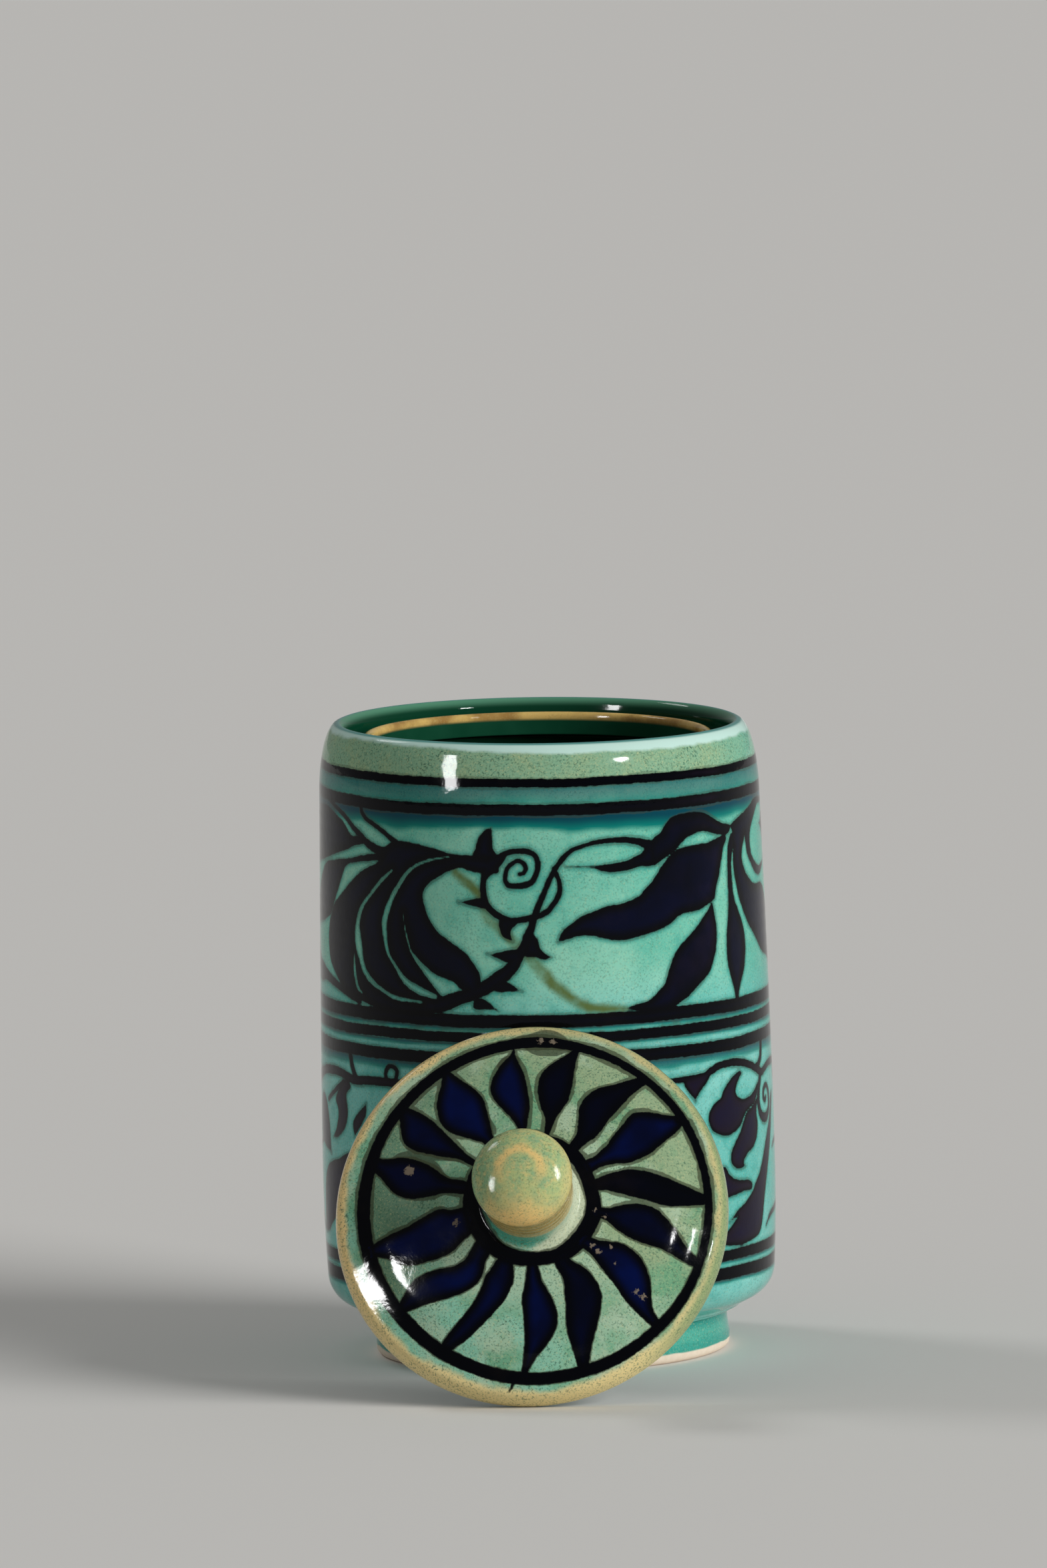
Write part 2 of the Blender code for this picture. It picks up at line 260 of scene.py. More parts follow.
LEAF_FAR_RIGHT = (
    (58.8, 133), (61.6, 134.2), (64.4, 135), (67.5, 135.7), (71.3, 136.7), (74.7, 137.7), (78.2, 138),
    (84, 137.5), (91, 136.4), (91, 136.4), (83, 136.2), (79.6, 136.3), (77.5, 135.5), (75.4, 134.3),
    (73.3, 133), (71.4, 131.3), (70.4, 129.7), (70.1, 127.7), (70.6, 125), (72.3, 123.3), (74.4, 122),
    (76.8, 121.2), (79.2, 121), (86, 122), (86, 122), (82, 120.2), (78.2, 119), (75.4, 119), (73, 120),
    (70.9, 121.7), (69.2, 123.3), (67.8, 125), (67.1, 127.3), (66.6, 129.6), (66.6, 129.6), (65.4, 128),
    (64.5, 126.3), (64.1, 124.3), (64.9, 122.3), (66.4, 120.3), (68.5, 118.8), (70.9, 117.5), (74, 116.9),
    (79, 116.6), (84, 113.6), (89, 107.5), (94, 101.8), (99, 97.6), (99, 97.6), (90, 96.4), (83, 98),
    (78.9, 99), (76.1, 100), (73.7, 101.7), (71.3, 103.7), (68.8, 105.7), (66.8, 107.3), (64.7, 109.7),
    (63, 112.3), (61.6, 114.7), (60.5, 117.7), (59.7, 120.3), (59.3, 123), (59.3, 125.7), (59.7, 127.7),
    (58.6, 130), (59.5, 131.3),
)

# Light gaps left between the dark leaves.
GAP_LENS = (
    (-38.4, 114), (-38.4, 114), (-37.9, 109.7), (-37.1, 107.3), (-36.2, 105), (-34.8, 103),
    (-32.7, 100.7), (-30.7, 98.3), (-28.6, 96.3), (-26.4, 94.5), (-20.5, 95.7), (-20.5, 95.7),
    (-22, 96.7), (-23.4, 98), (-25.1, 98.7), (-27.2, 99.3), (-29.6, 100.3), (-32.1, 102), (-34.1, 103.7),
    (-35.9, 105.3), (-36.7, 107.7), (-37.6, 110.3),
)
GAPS_BRUSHED = (
    ((-42, 124.6, 0.4), (-45.4, 122.2, 0.9), (-51, 117.3, 0.9), (-54, 114.3, 1.2), (-55.6, 110.5, 1.7),
     (-55.6, 107.5, 2.6), (-55.2, 105, 2.8), (-54.2, 102, 1.8), (-52.8, 99.2, 1.5), (-50, 96.9, 1.4),
     (-46, 95, 0.9), (-41, 93.4, 1.0), (-33, 92.8, 0.5)),
    ((-57.4, 103, 0.3), (-57.3, 100, 0.9), (-56.8, 97, 1.0), (-55.6, 94.6, 0.9), (-54, 93.6, 0.3)),
    ((-24.3, 128.9, 0.4), (-31, 127.5, 0.6), (-36, 125.1, 0.8), (-40, 120.8, 1.1), (-43, 116.5, 1.5),
     (-44.8, 112, 1.8), (-44.7, 108.5, 1.4), (-43.8, 104.5, 0.9), (-41, 101, 0.8), (-38, 97.8, 1.6),
     (-34, 95.8, 2.0), (-29, 94.4, 1.2)),
)

# Upper frieze: thorns as small closed outlines, and brush strokes as (degrees, millimetres, width).
THORNS = (
    ((-17.5, 128.6), (-17, 131.3), (-16.2, 133.7), (-14.4, 135.7), (-12.7, 136.3), (-12.7, 136.3),
     (-12.5, 133.3), (-12.4, 131), (-11, 128.6)),
    ((-21.3, 117.8), (-21.3, 117.8), (-16, 119), (-14, 118), (-14.4, 116.3)),
    ((-10.8, 114), (-11, 111), (-9.9, 109.3), (-7.9, 108.6), (-7.9, 108.6), (-8.3, 111), (-6.8, 112.5),
     (-5.4, 114)),
    ((-13.9, 105.2), (-13.9, 105.2), (-6.5, 106.5), (-5.5, 104), (-8.6, 103)),
    ((-3.5, 110.2), (-1.6, 109.3), (-1.1, 107.7), (-0.3, 106), (1.8, 104.4), (1.8, 104.4), (0.1, 103.8),
     (-2, 104.5), (-5, 105)),
    ((-12.5, 98.5), (-8.9, 98.2), (-6, 96.2), (-6, 96.2), (-8.9, 96.1), (-13, 96.2)),
    ((-18, 94), (-15.5, 94.2), (-11.7, 91.2), (-11.7, 91.2), (-13.7, 91.7), (-18, 91.7)),
)
STROKES_UPPER = (
    ((-72, 139.5, 1.2), (-66, 137.8, 1.2), (-61.5, 136.2, 1.3), (-57.5, 134, 1.5), (-54, 132.2, 1.8),
     (-51, 130.5, 2.0), (-46, 129, 2.4), (-42, 129, 3.0)),
    ((-40, 131, 2.0), (-43, 132.8, 1.3), (-47, 134.8, 1.2), (-51, 136.3, 1.2), (-53.3, 137.8, 1.2),
     (-54, 140, 1.4)),
    ((-97, 98.4, 0.5), (-90, 97.2, 3.6), (-81.4, 96.4, 5.0), (-76, 96.1, 3.0), (-70, 95.0, 2.2),
     (-63.8, 93.6, 1.8), (-55, 91.4, 1.6)),
    ((-13, 127.2, 4.2), (-10.5, 128.8, 2.4), (-9, 130, 1.4), (-6.5, 130.5, 1.4), (-3.5, 130.4, 1.4),
     (-1.6, 129.5, 1.4), (-0.9, 127.5, 1.4), (-1.2, 125.3, 1.4), (-2.3, 123.2, 1.5), (-4, 122.3, 1.6),
     (-6.5, 122, 1.5), (-8.3, 122.1, 1.4), (-9.3, 123.3, 1.2), (-9.2, 125, 1.1), (-8.6, 126.6, 1.1),
     (-7.3, 127.6, 1.1), (-5.9, 128.2, 1.1), (-4.6, 127.6, 1.1), (-4, 126.3, 1.1), (-4.6, 125.2, 1.1),
     (-5.6, 124.9, 1.0)),
    ((-13.5, 126.5, 3.6), (-14.9, 124, 1.8), (-15.2, 121.5, 1.6), (-15, 119, 1.7), (-14.3, 117.2, 1.8),
     (-13, 115.8, 1.7), (-11, 114.5, 1.7), (-8.5, 113.6, 1.6), (-5.5, 113.7, 1.6), (-3, 114.2, 1.6),
     (-0.5, 114.8, 1.5), (1.3, 115.8, 1.4), (3, 117.6, 1.4), (4.2, 119.6, 1.4), (4.6, 121.3, 1.3),
     (4.4, 123.3, 1.2), (3.2, 126, 1.2)),
    ((-30, 92.3, 2.0), (-26, 93.5, 2.6), (-20, 95, 3.4), (-15.5, 96.8, 3.4), (-11.5, 99.3, 3.6),
     (-8.2, 102, 3.0), (-6.2, 105, 2.6), (-4.9, 107, 2.4), (-3.8, 109.8, 2.2), (-2.9, 112, 1.9),
     (-2, 114.5, 1.7), (-1, 117, 1.6), (0.4, 120, 1.4), (1.8, 123, 1.4), (3.3, 125.7, 1.4),
     (5.2, 128.2, 1.3), (7.5, 130.3, 1.1), (10, 131.3, 1.0), (14, 132.2, 1.1), (18, 132.6, 1.3),
     (22, 132.5, 1.5), (26, 131.8, 1.8), (29.5, 130.5, 3.0)),
)
STROKE_OLIVE = (
    (-22.7, 125, 2.2), (-16.2, 119.7, 2.6), (-14.4, 114.3, 2.6), (-11.3, 111.7, 2.6), (-6.8, 107.7, 2.6),
    (-4.1, 105, 2.8), (-1, 101.3, 3.0), (2.8, 97.3, 3.0), (6, 94.7, 2.8), (9, 92.7, 2.6), (12, 91.7, 2.4),
    (18, 91.2, 2.0), (21, 91, 1.6),
)

# Lower frieze: a palmette group and a scroll group, placed several times round the jar.
PALMETTE_LEAVES = (
    ((37, 71.5), (40.5, 66.8), (40.5, 66.8), (42.5, 69), (45, 71.2), (46, 73), (42, 73)),
    ((59.3, 71.4), (59.3, 71.4), (58.5, 72.1), (57.1, 71.9), (54.7, 71), (52.3, 69.4), (50.7, 67.9),
     (49.9, 66.5), (47.9, 65.6), (46, 64.2), (45, 62.5), (45, 60.8), (46, 59), (47.9, 57.7), (50.7, 56.9),
     (53.5, 56.9), (55.9, 57.7), (58.3, 59), (60.3, 61.2), (63.1, 62.5), (66.3, 63.7), (69.3, 68.8),
     (69.3, 68.8), (66.7, 66.9), (65.1, 66), (62.7, 65.2), (59.5, 65), (57.5, 65.6), (56.3, 66.6),
     (56.1, 67.7), (56.7, 69), (57.9, 70.4)),
    ((68.3, 65), (66.8, 61.2), (67.3, 58.5), (67.1, 56.2), (65.9, 53.9), (63.9, 52.3), (61.1, 51.4),
     (58.9, 49.5), (59.4, 48.3), (59.4, 48.3), (57.5, 48), (55.5, 48.3), (53.9, 49.1), (53.1, 50.6),
     (53.3, 52.2), (54.1, 53.5), (55.9, 55.4), (57.9, 57.3), (59.5, 59.6), (61.5, 61.6), (63.9, 62.3),
     (66.3, 63.5)),
    ((82.2, 64.5), (82.2, 64.5), (82, 63), (80.2, 58.5), (78.6, 54.6), (75.8, 49.2), (73, 43.8),
     (71, 39.2), (69.9, 35.4), (68.7, 32.3), (67.1, 30.6), (64.3, 29.8), (60.3, 29.2), (57.1, 28.9),
     (50.7, 29.6), (48, 31), (48, 31), (51.7, 33.5), (53.9, 35), (55.5, 36.2), (52.1, 35.4), (52.1, 35.4),
     (55.5, 37.7), (57.9, 38.7), (60.3, 39.8), (63.1, 41.5), (65.1, 43.5), (67.5, 45.4), (69.5, 47.7),
     (71.9, 51.2), (74.2, 54.2), (76.6, 56.9), (78.6, 60), (80.2, 63.5)),
    ((44, 49), (50.3, 49.2), (52, 47.3), (54.3, 45.8), (57.9, 45), (60.7, 44.8), (62.7, 43.8),
     (63.1, 42.7), (61.9, 42.1), (57.9, 42.1), (52, 41.5), (44, 42), (38, 45)),
)
PALMETTE_STROKES = (
    ((32, 72.3, 1.2), (43, 72.3, 1.9), (46, 73.3, 1.9), (50, 74.5, 1.9), (55, 74.6, 1.9), (60, 74, 1.9),
     (64, 72.9, 1.9), (67, 71.8, 1.9), (70, 70.6, 2.0), (72, 70.3, 1.9), (75, 71, 1.8), (79, 71.7, 1.8),
     (84, 71.6, 1.8), (92, 71.2, 1.4)),
    ((67, 72, 1.5), (69.5, 72.7, 1.6), (71, 74, 1.6), (71.5, 75.5, 1.6), (71.8, 78, 1.6)),
    ((70.3, 69.5, 1.7), (68.9, 66.2, 1.7), (68.5, 63.8, 1.7), (68.9, 61.5, 1.9), (70.3, 59.6, 2.2),
     (72.3, 58.7, 2.4), (74.6, 58.8, 2.2), (76.6, 60, 1.8), (77.6, 61.9, 1.7), (77.4, 64.2, 1.6),
     (76.2, 66, 1.4), (74.3, 66.5, 1.3), (72.6, 65.4, 1.3), (72.4, 63.8, 1.3), (73.6, 62.9, 1.3),
     (74.6, 63.5, 1.2)),
    ((72.3, 31.7, 0.4), (75.1, 33.5, 1.0), (79, 34.6, 1.4), (90, 36, 1.6)),
    ((80, 50.4, 0.3), (83, 51.5, 1.0), (90, 52, 1.4)),
)
SCROLL_LEAVES = (
    ((-62, 71.5), (-65, 70), (-68.9, 66.2), (-67.3, 63.5), (-67.7, 60.8), (-69.3, 58.1), (-71.3, 56.3),
     (-71.3, 56.3), (-68.5, 56.5), (-65.7, 57.7), (-63.3, 59.6), (-61.9, 62.3), (-61.9, 65),
     (-62.5, 67.7), (-60, 69.8)),
    ((-73.5, 52.5), (-73.5, 52.5), (-74.2, 58), (-76, 63), (-79, 65.8), (-83, 65.5), (-86.5, 61),
     (-85, 56), (-80, 53.5)),
    ((-53, 66.2), (-53, 66.2), (-55.3, 64.6), (-58.5, 61.9), (-59.1, 60), (-58.3, 57.9), (-58.3, 57.9),
     (-54.9, 61.2), (-53.1, 63.8)),
    ((-58, 53.6), (-62.5, 53.1), (-67.2, 51.4), (-72, 50.2), (-76, 48.8), (-78.8, 46.2), (-80.4, 42.3),
     (-81.2, 37.7), (-82.8, 31.9), (-82.8, 31.9), (-78, 32.3), (-74.8, 34.2), (-72, 35.8), (-64, 42),
     (-57, 49)),
)
SCROLL_STROKES = (
    ((-92, 68.6, 3.6), (-88, 69.5, 3.4), (-80, 71.7, 2.2), (-75, 72.6, 2.2), (-68, 73, 2.2),
     (-63, 72.5, 2.2), (-58, 71.7, 2.2), (-52, 72.2, 2.2), (-44, 72.4, 2.2), (-36, 72.3, 1.6)),
    ((-60, 78, 1.7), (-58.8, 74.5, 1.7), (-57.5, 72.5, 1.7)),
    ((-64, 70.5, 1.6), (-70, 67.7, 1.2), (-75, 65.2, 1.2)),
    ((-44.5, 72.6, 1.3), (-45.2, 74.6, 1.2), (-43.6, 76.4, 1.2), (-41.2, 75.6, 1.2), (-41.6, 73.4, 1.2)),
)
# Stems that join the groups: from a palmette to a palmette, to a scroll, and from a scroll on.
LINKS_TO_PALMETTE = (
    ((88, 52, 1.4), (100, 50, 1.5), (113, 45.5, 2.2)),
    ((88, 36, 1.6), (100, 37.5, 1.4), (109, 35, 1.3), (123, 31.2, 1.2)),
    ((90, 71.3, 1.5), (98, 71.6, 1.6), (108, 72.3, 1.4)),
)
LINKS_TO_SCROLL = (
    ((88, 52, 1.4), (92, 52.8, 1.4), (97, 54.8, 2.2)),
    ((88, 36, 1.6), (93, 35, 1.4), (97.6, 32.2, 1.1)),
)
LINK_FROM_SCROLL = ((-59, 51.5, 2.2), (-48, 48.5, 1.6), (-36, 45.5, 2.4))
UPPER_TURNS = (0.0, 180.0)
PALMETTE_TURNS = (0.0, -75.0, 105.0, 180.0)
SCROLL_TURNS = (0.0, 180.0)

# Lid petals in lid order round the knob: outlines as (radius, degrees), sharp at the outer tip.
PETALS = (
    ((43, 1), (40, 0.5), (36, -0.5), (33, -0.5), (30, 1), (25, 4), (20, 8), (17, 10), (17, 18),
     (20, 19.5), (22, 20), (25, 19.5), (27, 18.5), (30, 16), (35, 11), (40, 6.5), (43, 4.5)),
    ((42.5, 29.5), (40, 28), (37, 26.5), (33, 24), (30, 23), (27, 22.5), (25, 23.5), (23, 25), (20, 26),
     (17, 25.5), (17, 36), (20, 35.5), (22, 36.5), (24, 37.5), (27, 40), (30, 41.5), (32, 42.5), (34, 43),
     (36, 41.5), (38, 39), (40, 36), (42.5, 33.5)),
    ((42.5, 48.5), (38, 49), (34, 48.5), (30, 48), (27, 47), (24, 45.5), (20, 46.5), (17, 47), (17, 55),
     (20, 55.5), (22, 57.5), (24, 60), (26, 62.5), (28, 64), (31, 63.5), (34, 61), (37, 57), (40, 54),
     (42.5, 52)),
    ((42.5, 74), (40, 74), (36, 73), (32, 71.5), (28, 70.5), (25, 71.5), (22, 73), (17, 73), (17, 77),
     (20, 78.5), (22, 80), (25, 84), (28, 86), (31, 86.5), (34, 85.5), (37, 82), (40, 78), (42.5, 76)),
    ((41.5, 96), (39.6, 96), (37, 95), (34, 93), (30, 91.5), (26, 90), (23, 90), (20, 91), (16, 92),
     (16, 97), (19.5, 98.5), (22, 101.5), (25, 105.5), (28, 108), (31, 108.5), (34, 106), (37, 102),
     (39.4, 98), (41.5, 97)),
    ((41, 120), (37, 118), (34, 115.5), (31, 113.5), (28, 113), (25, 114), (22, 115), (20, 116.5),
     (16, 118), (16, 124), (18.5, 126), (20, 128.5), (22, 131.5), (24, 134), (26, 136), (29, 136.5),
     (32, 134.5), (35, 131), (38, 126), (41, 122)),
    ((40.5, 139.5), (36, 138), (32, 137.5), (28, 138), (24, 139), (20, 140), (16, 140.5), (16, 145.5),
     (20, 146.5), (22, 148), (25, 150.5), (28, 152), (31, 153), (34, 152.5), (36, 150.5), (38, 147),
     (40.5, 143)),
    ((40, 160.5), (37, 160), (34, 158), (31, 157), (28, 157), (25, 158), (22, 160.5), (20, 161.5),
     (15, 161), (15, 172), (20, 172.5), (23, 174.5), (26, 176), (28, 176.5), (31, 175.5), (34, 172.5),
     (37, 168), (40, 165)),
    ((40, 193.5), (36, 192), (33, 191), (30, 190), (27, 188), (24, 185.5), (21, 183.5), (18.5, 185.5),
     (15, 187), (15, 209), (18, 212), (20, 213.5), (22, 214), (25, 212.5), (28, 210.5), (31, 208.5),
     (34, 205), (36, 201), (40, 197)),
    ((40, 217.5), (36, 215.5), (33, 214), (30, 214.5), (28, 216), (26, 218), (24, 221), (22, 223),
     (20, 223.5), (18, 221.5), (15, 220), (15, 235), (18, 237), (20, 239.5), (22, 240), (24, 239),
     (27, 235.5), (30, 231), (33, 227), (36, 224), (40, 221)),
    ((40.5, 238.5), (36, 239.5), (32, 241), (28, 242.5), (24, 243), (21, 242), (19, 243), (15.5, 246),
     (15.5, 258), (18, 261), (20, 261.5), (22, 260.5), (25, 258), (28, 254.5), (32, 250.5), (36, 247),
     (40.5, 242.5)),
    ((42, 268.3), (36, 269.5), (32, 269.5), (28, 269), (24, 268), (21, 269.5), (16, 272), (16, 280),
     (20, 281.5), (23, 284), (26, 285.5), (29, 285.5), (32, 283.5), (35, 279), (38, 274), (42, 270)),
    ((42.5, 287.5), (38, 287.5), (34, 287.5), (31, 288.5), (28, 290.5), (25, 292.5), (22, 295), (20, 295),
     (16.5, 295), (16.5, 306), (18.5, 307), (21, 310), (23, 311.5), (26, 311), (28, 310), (30, 308),
     (33, 303), (36, 298), (39, 294), (42.5, 291)),
    ((43, 315.5), (38, 315), (34, 315), (31, 316), (28, 317), (25, 318), (23, 319), (20, 320), (17, 320),
     (17, 329), (20, 331), (22, 333.5), (25, 336), (27, 336), (30, 334.5), (33, 331.5), (36, 327),
     (38, 323), (40, 320), (43, 318.6)),
    ((43, 339.5), (38, 340.5), (34, 341), (30, 340.5), (26, 341), (23, 342.5), (20, 346), (17, 348),
     (17, 354.5), (20, 355.5), (22, 357.5), (25, 359.5), (28, 359.5), (31, 358), (34, 354), (37, 349.5),
     (40, 345), (43, 343)),
)
RING_OUTER_EDGE = (
    (44.6, 0), (44.4, 30), (43.9, 60), (44.1, 90), (43.2, 120), (42.5, 150), (42.2, 180), (42.4, 210),
    (43, 240), (44.2, 270), (45, 300), (45.2, 330),
)
RING_INNER_EDGE = (
    (42.7, 0), (42.3, 30), (41.8, 60), (41.1, 90), (40.3, 120), (39.6, 150), (38.8, 180), (38.9, 210),
    (39.8, 240), (41.3, 270), (42.3, 300), (42.9, 330),
)
COLLAR_OUTER_EDGE = (
    (18, 0), (17.9, 45), (17.6, 90), (16.4, 135), (15.6, 180), (15.6, 220), (16.2, 260), (17.8, 305),
    (18.4, 335),
)
COLLAR_INNER_EDGE = (
    (14.5, 0), (14.4, 45), (13.8, 90), (12.2, 135), (11, 180), (10.9, 210), (11.2, 225), (11.9, 240),
    (12.4, 256), (12.8, 272), (13.4, 287), (14.1, 303), (14.4, 331),
)

# Slope of the lid's face as (radius, rise per run): a dome, a steeper ring, and a flatter brim outside it.
LID_SLOPES = (
    (12.7, 0.187),
    (32.0, 0.235),
    (34.0, 0.25),
    (35.5, 0.3),
    (36.5, 0.355),
    (37.8, 0.4),
    (39.0, 0.42),
    (40.3, 0.37),
    (41.5, 0.3),
    (46.0, 0.3),
)
# How much cobalt shows in each petal, in the order of PETALS.
PETAL_COBALT = (0.04, 0.7, 0.1, 0.1, 0.63, 0.8, 0.65, 0.33, 0.95, 1.0, 0.55, 0.9, 0.25, 0.82, 0.3)

# Small faults in the lid's glaze: flecks as (radius, degrees, size).
FLECKS = (
    (43.0, 83.5, 0.8), (43.0, 87.3, 0.8), (30.6, 163, 1.3), (18.0, 196, 0.9), (36.5, 321, 0.8),
    (34.5, 320.5, 0.7), (21.5, 325, 0.7), (19.6, 325.5, 0.6), (23.6, 331.5, 0.5), (26.4, 324.6, 0.4),
    (19.4, 348.5, 0.5), (16.8, 352, 0.4),
)
# Places where the paint ran out thin and grey beside a petal or the ring: outlines as (radius, degrees).
THIN_WASHES = (
    ((43.7, 97), (44.6, 92.7), (45.5, 89.4), (46.2, 86.7), (46.1, 83.8), (45.3, 81.1), (44.1, 79),
     (41.5, 76.3), (40.3, 78.7), (39.2, 81.2), (38.8, 84.5), (38.8, 87.9), (39.5, 90.4), (40.6, 92.3)),
    ((36.3, 103.1), (37.9, 102.4), (39, 100.9), (39.4, 98.9), (39.5, 97), (38.9, 95.5), (37.9, 94.6),
     (35.7, 94.5), (34.7, 97.1)),
    ((35.9, 159.9), (35.3, 157.3), (34, 155.4), (32.3, 153.6), (30.4, 152.5), (28.2, 151.8), (26, 153.5),
     (24, 155.1), (21.4, 159.5), (19.2, 162), (22.2, 163.7), (28.3, 161), (32.5, 161)),
    ((25.8, 113.6), (23.7, 113.4), (22, 112.8), (20.4, 112.6), (19.1, 114.5), (19.4, 117.3), (19, 120.6),
     (21.2, 120.6), (24.6, 117.2)),
    ((34.3, 153.3), (31.2, 154.8), (28.2, 154.8), (25.4, 153.7), (22.6, 151), (20.4, 148.7), (18, 146.7),
     (21.7, 146.7), (26.3, 150.4), (31.1, 152.4)),
)
# A short tick of the brush outside the ring: (radius, degrees, width).
STROKE_TICK = ((44.0, 265.8, 0.7), (45.0, 265.4, 0.5), (45.9, 264.8, 0.3))


def linear(red, green, blue):
    """Scene-linear colour of an everyday 0 to 255 colour."""
    shares = np.array((red, green, blue)) / 255.0
    light = np.where(shares <= 0.04045, shares / 12.92, ((shares + 0.055) / 1.055) ** 2.4)
    return (*light.tolist(), 1.0)


# Colours that go with the main ones, which are properties.
TURQUOISE_PALE = linear(140, 206, 182)
TURQUOISE_DEEP = linear(36, 146, 134)
TURQUOISE_LOW = linear(96, 184, 174)
TURQUOISE_LOW_PALE = linear(134, 206, 196)
CELADON_WARM = linear(152, 178, 137)
# Pale thin glaze with a painted highlight on the rim.
RIM_PALE_HIGHLIGHT = linear(196, 228, 218)
RIM_TEAL = linear(30, 128, 122)
BLEED_BLUE = linear(0, 66, 80)
BLEED_TEAL = linear(4, 132, 118)
INK_BROWN = linear(12, 9, 10)
# Painted reflection of brown wood in the ink.
PLUM_REFLECTION = linear(24, 16, 29)
THIN_GREY = linear(60, 68, 52)
FLECK_GREY = linear(128, 116, 100)
HALO_OLIVE = linear(64, 70, 50)
SPECK_WARM = linear(204, 202, 150)
SPECK_DARK = linear(52, 98, 78)
# Painted light on the lid's golden edge, on its left and at its bottom.
GOLD_LEFT_PAINTED_LIGHT = linear(236, 208, 146)
GOLD_LOW_PAINTED_LIGHT = linear(232, 212, 152)
EDGE_GREEN = linear(122, 152, 106)
LID_PALE = linear(180, 204, 176)
LID_TURQUOISE = linear(140, 200, 174)
# Painted shade for the knob's shadow on the lid.
LID_PAINTED_SHADE = linear(100, 132, 106)
LID_DEEP = linear(104, 164, 126)
KNOB_TURQUOISE = linear(122, 166, 128)
CREAM = linear(196, 206, 178)
POOL_TURQUOISE = linear(76, 166, 144)
RIM_GREEN = linear(26, 76, 54)
LIP_BROWN = linear(158, 122, 66)
KNOB_BROWN = linear(186, 160, 98)
KNOB_GROOVE = linear(98, 108, 66)
KNOB_SPECK = linear(92, 116, 80)
CLAY_WARM = linear(218, 196, 174)
# Painted light at the top of the rim's inner bevel.
BEVEL_PAINTED_LIGHT = linear(84, 140, 112)
FLOOR_COLOUR = linear(230, 228, 224)
WORLD_COLOUR = linear(226, 226, 226)

GLAZE_IOR = 1.22
# Half widths of the soft edges of the paint and of its halo, in millimetres.
PAINT_SOFTNESS = 0.16
HALO_SOFTNESS = 0.14
# Heights in millimetres between which the wall's ground turns to celadon.
CELADON_EDGE = (146.6, 148.6)
# Degrees round the jar to the side where its turquoise is deepest; towards it the ground is partly deeper
# glaze and partly painted shade.
DEEP_SHADED_SIDE = 125.0
# Height in millimetres that the dark collar climbs to on the knob's foot.
COLLAR_TOP = 16.4


def length_property(label, description, default):
    """A length in metres."""
    return bpy.props.FloatProperty(name=label, description=description, default=default, unit="LENGTH")


def angle_property(label, description, degrees):
    """An angle, given in degrees."""
    default = math.radians(degrees)
    return bpy.props.FloatProperty(name=label, description=description, default=default, subtype="ANGLE")


def power_property(label, description, watts):
    """The power of a light in watts."""
    return bpy.props.FloatProperty(name=label, description=description, default=watts, unit="POWER")


def number_property(label, description, default):
    """A share, a slope or a strength."""
    return bpy.props.FloatProperty(name=label, description=description, default=default)


def count_property(label, description, default):
    """A whole number."""
    return bpy.props.IntProperty(name=label, description=description, default=default)


def colour_property(label, description, *everyday):
    """A colour, given as an everyday 0 to 255 colour."""
    default = linear(*everyday)
    return bpy.props.FloatVectorProperty(
        name=label, description=description, default=default, size=4, min=0.0, max=1.0, subtype="COLOR"
    )


class JarShape(bpy.types.PropertyGroup):
    """Shape of the glazed jar wall."""

    shoulder_radius: length_property("Shoulder radius", "Wall radius where the shoulder starts", 0.0543)
    rim_radius: length_property("Rim radius", "Radius of the rim's crest", 0.0493)
    heel_radius: length_property("Heel radius", "Wall radius above the heel", 0.0553)
    belly_height: length_property("Belly height", "Height of the widest place", 0.045)
    shoulder_drop: length_property("Shoulder drop", "Height of the rounded shoulder", 0.0184)
    heel_rounding: length_property("Heel rounding", "Radius of the rounded heel", 0.008)
    wall: length_property("Wall", "Thickness of the wall", 0.005)
    tilt: number_property("Rim tilt", "Sideways slope of the thrown rim", -0.0134)
    columns: count_property("Columns", "Mesh columns round the jar", 780)


class LidShape(bpy.types.PropertyGroup):
    """Shape and stance of the leaning lid."""

    lean: angle_property("Lean", "Lean of the lid from upright", 25.0)
    turn: angle_property("Turn", "Turn of the lid to the side", 6.0)
    radius: length_property("Radius", "Outer radius of the lid", 0.048)
    edge_rounding: length_property("Edge rounding", "Rounding under the edge", 0.0015)
    edge_width: length_property("Edge width", "Width of the rounded edge", 0.0026)
    edge_rise: length_property("Edge rise", "Height of the rounded edge", 0.00527)
    dome_rise: length_property("Dome rise", "Rise of the face from the edge to the knob", 0.00843)
    knob_base: length_property("Knob base", "Radius of the knob's foot", 0.0127)
    columns: count_property("Columns", "Mesh columns round the lid", 720)


class GlazeColours(bpy.types.PropertyGroup):
    """The main colours of the glazes and of the paint under them."""

    turquoise: colour_property("Turquoise", "Ground of the wall and the foot", 100, 186, 164)
    celadon: colour_property("Celadon", "Band under the rim", 133, 175, 143)
    ink: colour_property("Ink", "Painted lines and leaves", 1, 2, 6)
    cobalt: colour_property("Cobalt", "Paint where it lies thick", 0, 14, 68)
    olive: colour_property("Olive", "Thin stroke under the leaves", 88, 104, 46)
    inside_green: colour_property("Inside green", "Glaze inside the jar and under the lid", 8, 58, 38)
    lip_gold: colour_property("Lip gold", "Lip inside the mouth", 212, 178, 104)
    lid_green: colour_property("Lid green", "Ground of the lid's face", 150, 174, 136)
    edge_gold: colour_property("Edge gold", "Thin glaze on the lid's edge", 198, 186, 132)
    knob_green: colour_property("Knob green", "Ground of the knob", 174, 188, 128)
    knob_gold: colour_property("Knob gold", "Thin glaze on the knob", 234, 196, 124)
    clay: colour_property("Clay", "Bare clay of the foot", 238, 224, 206)


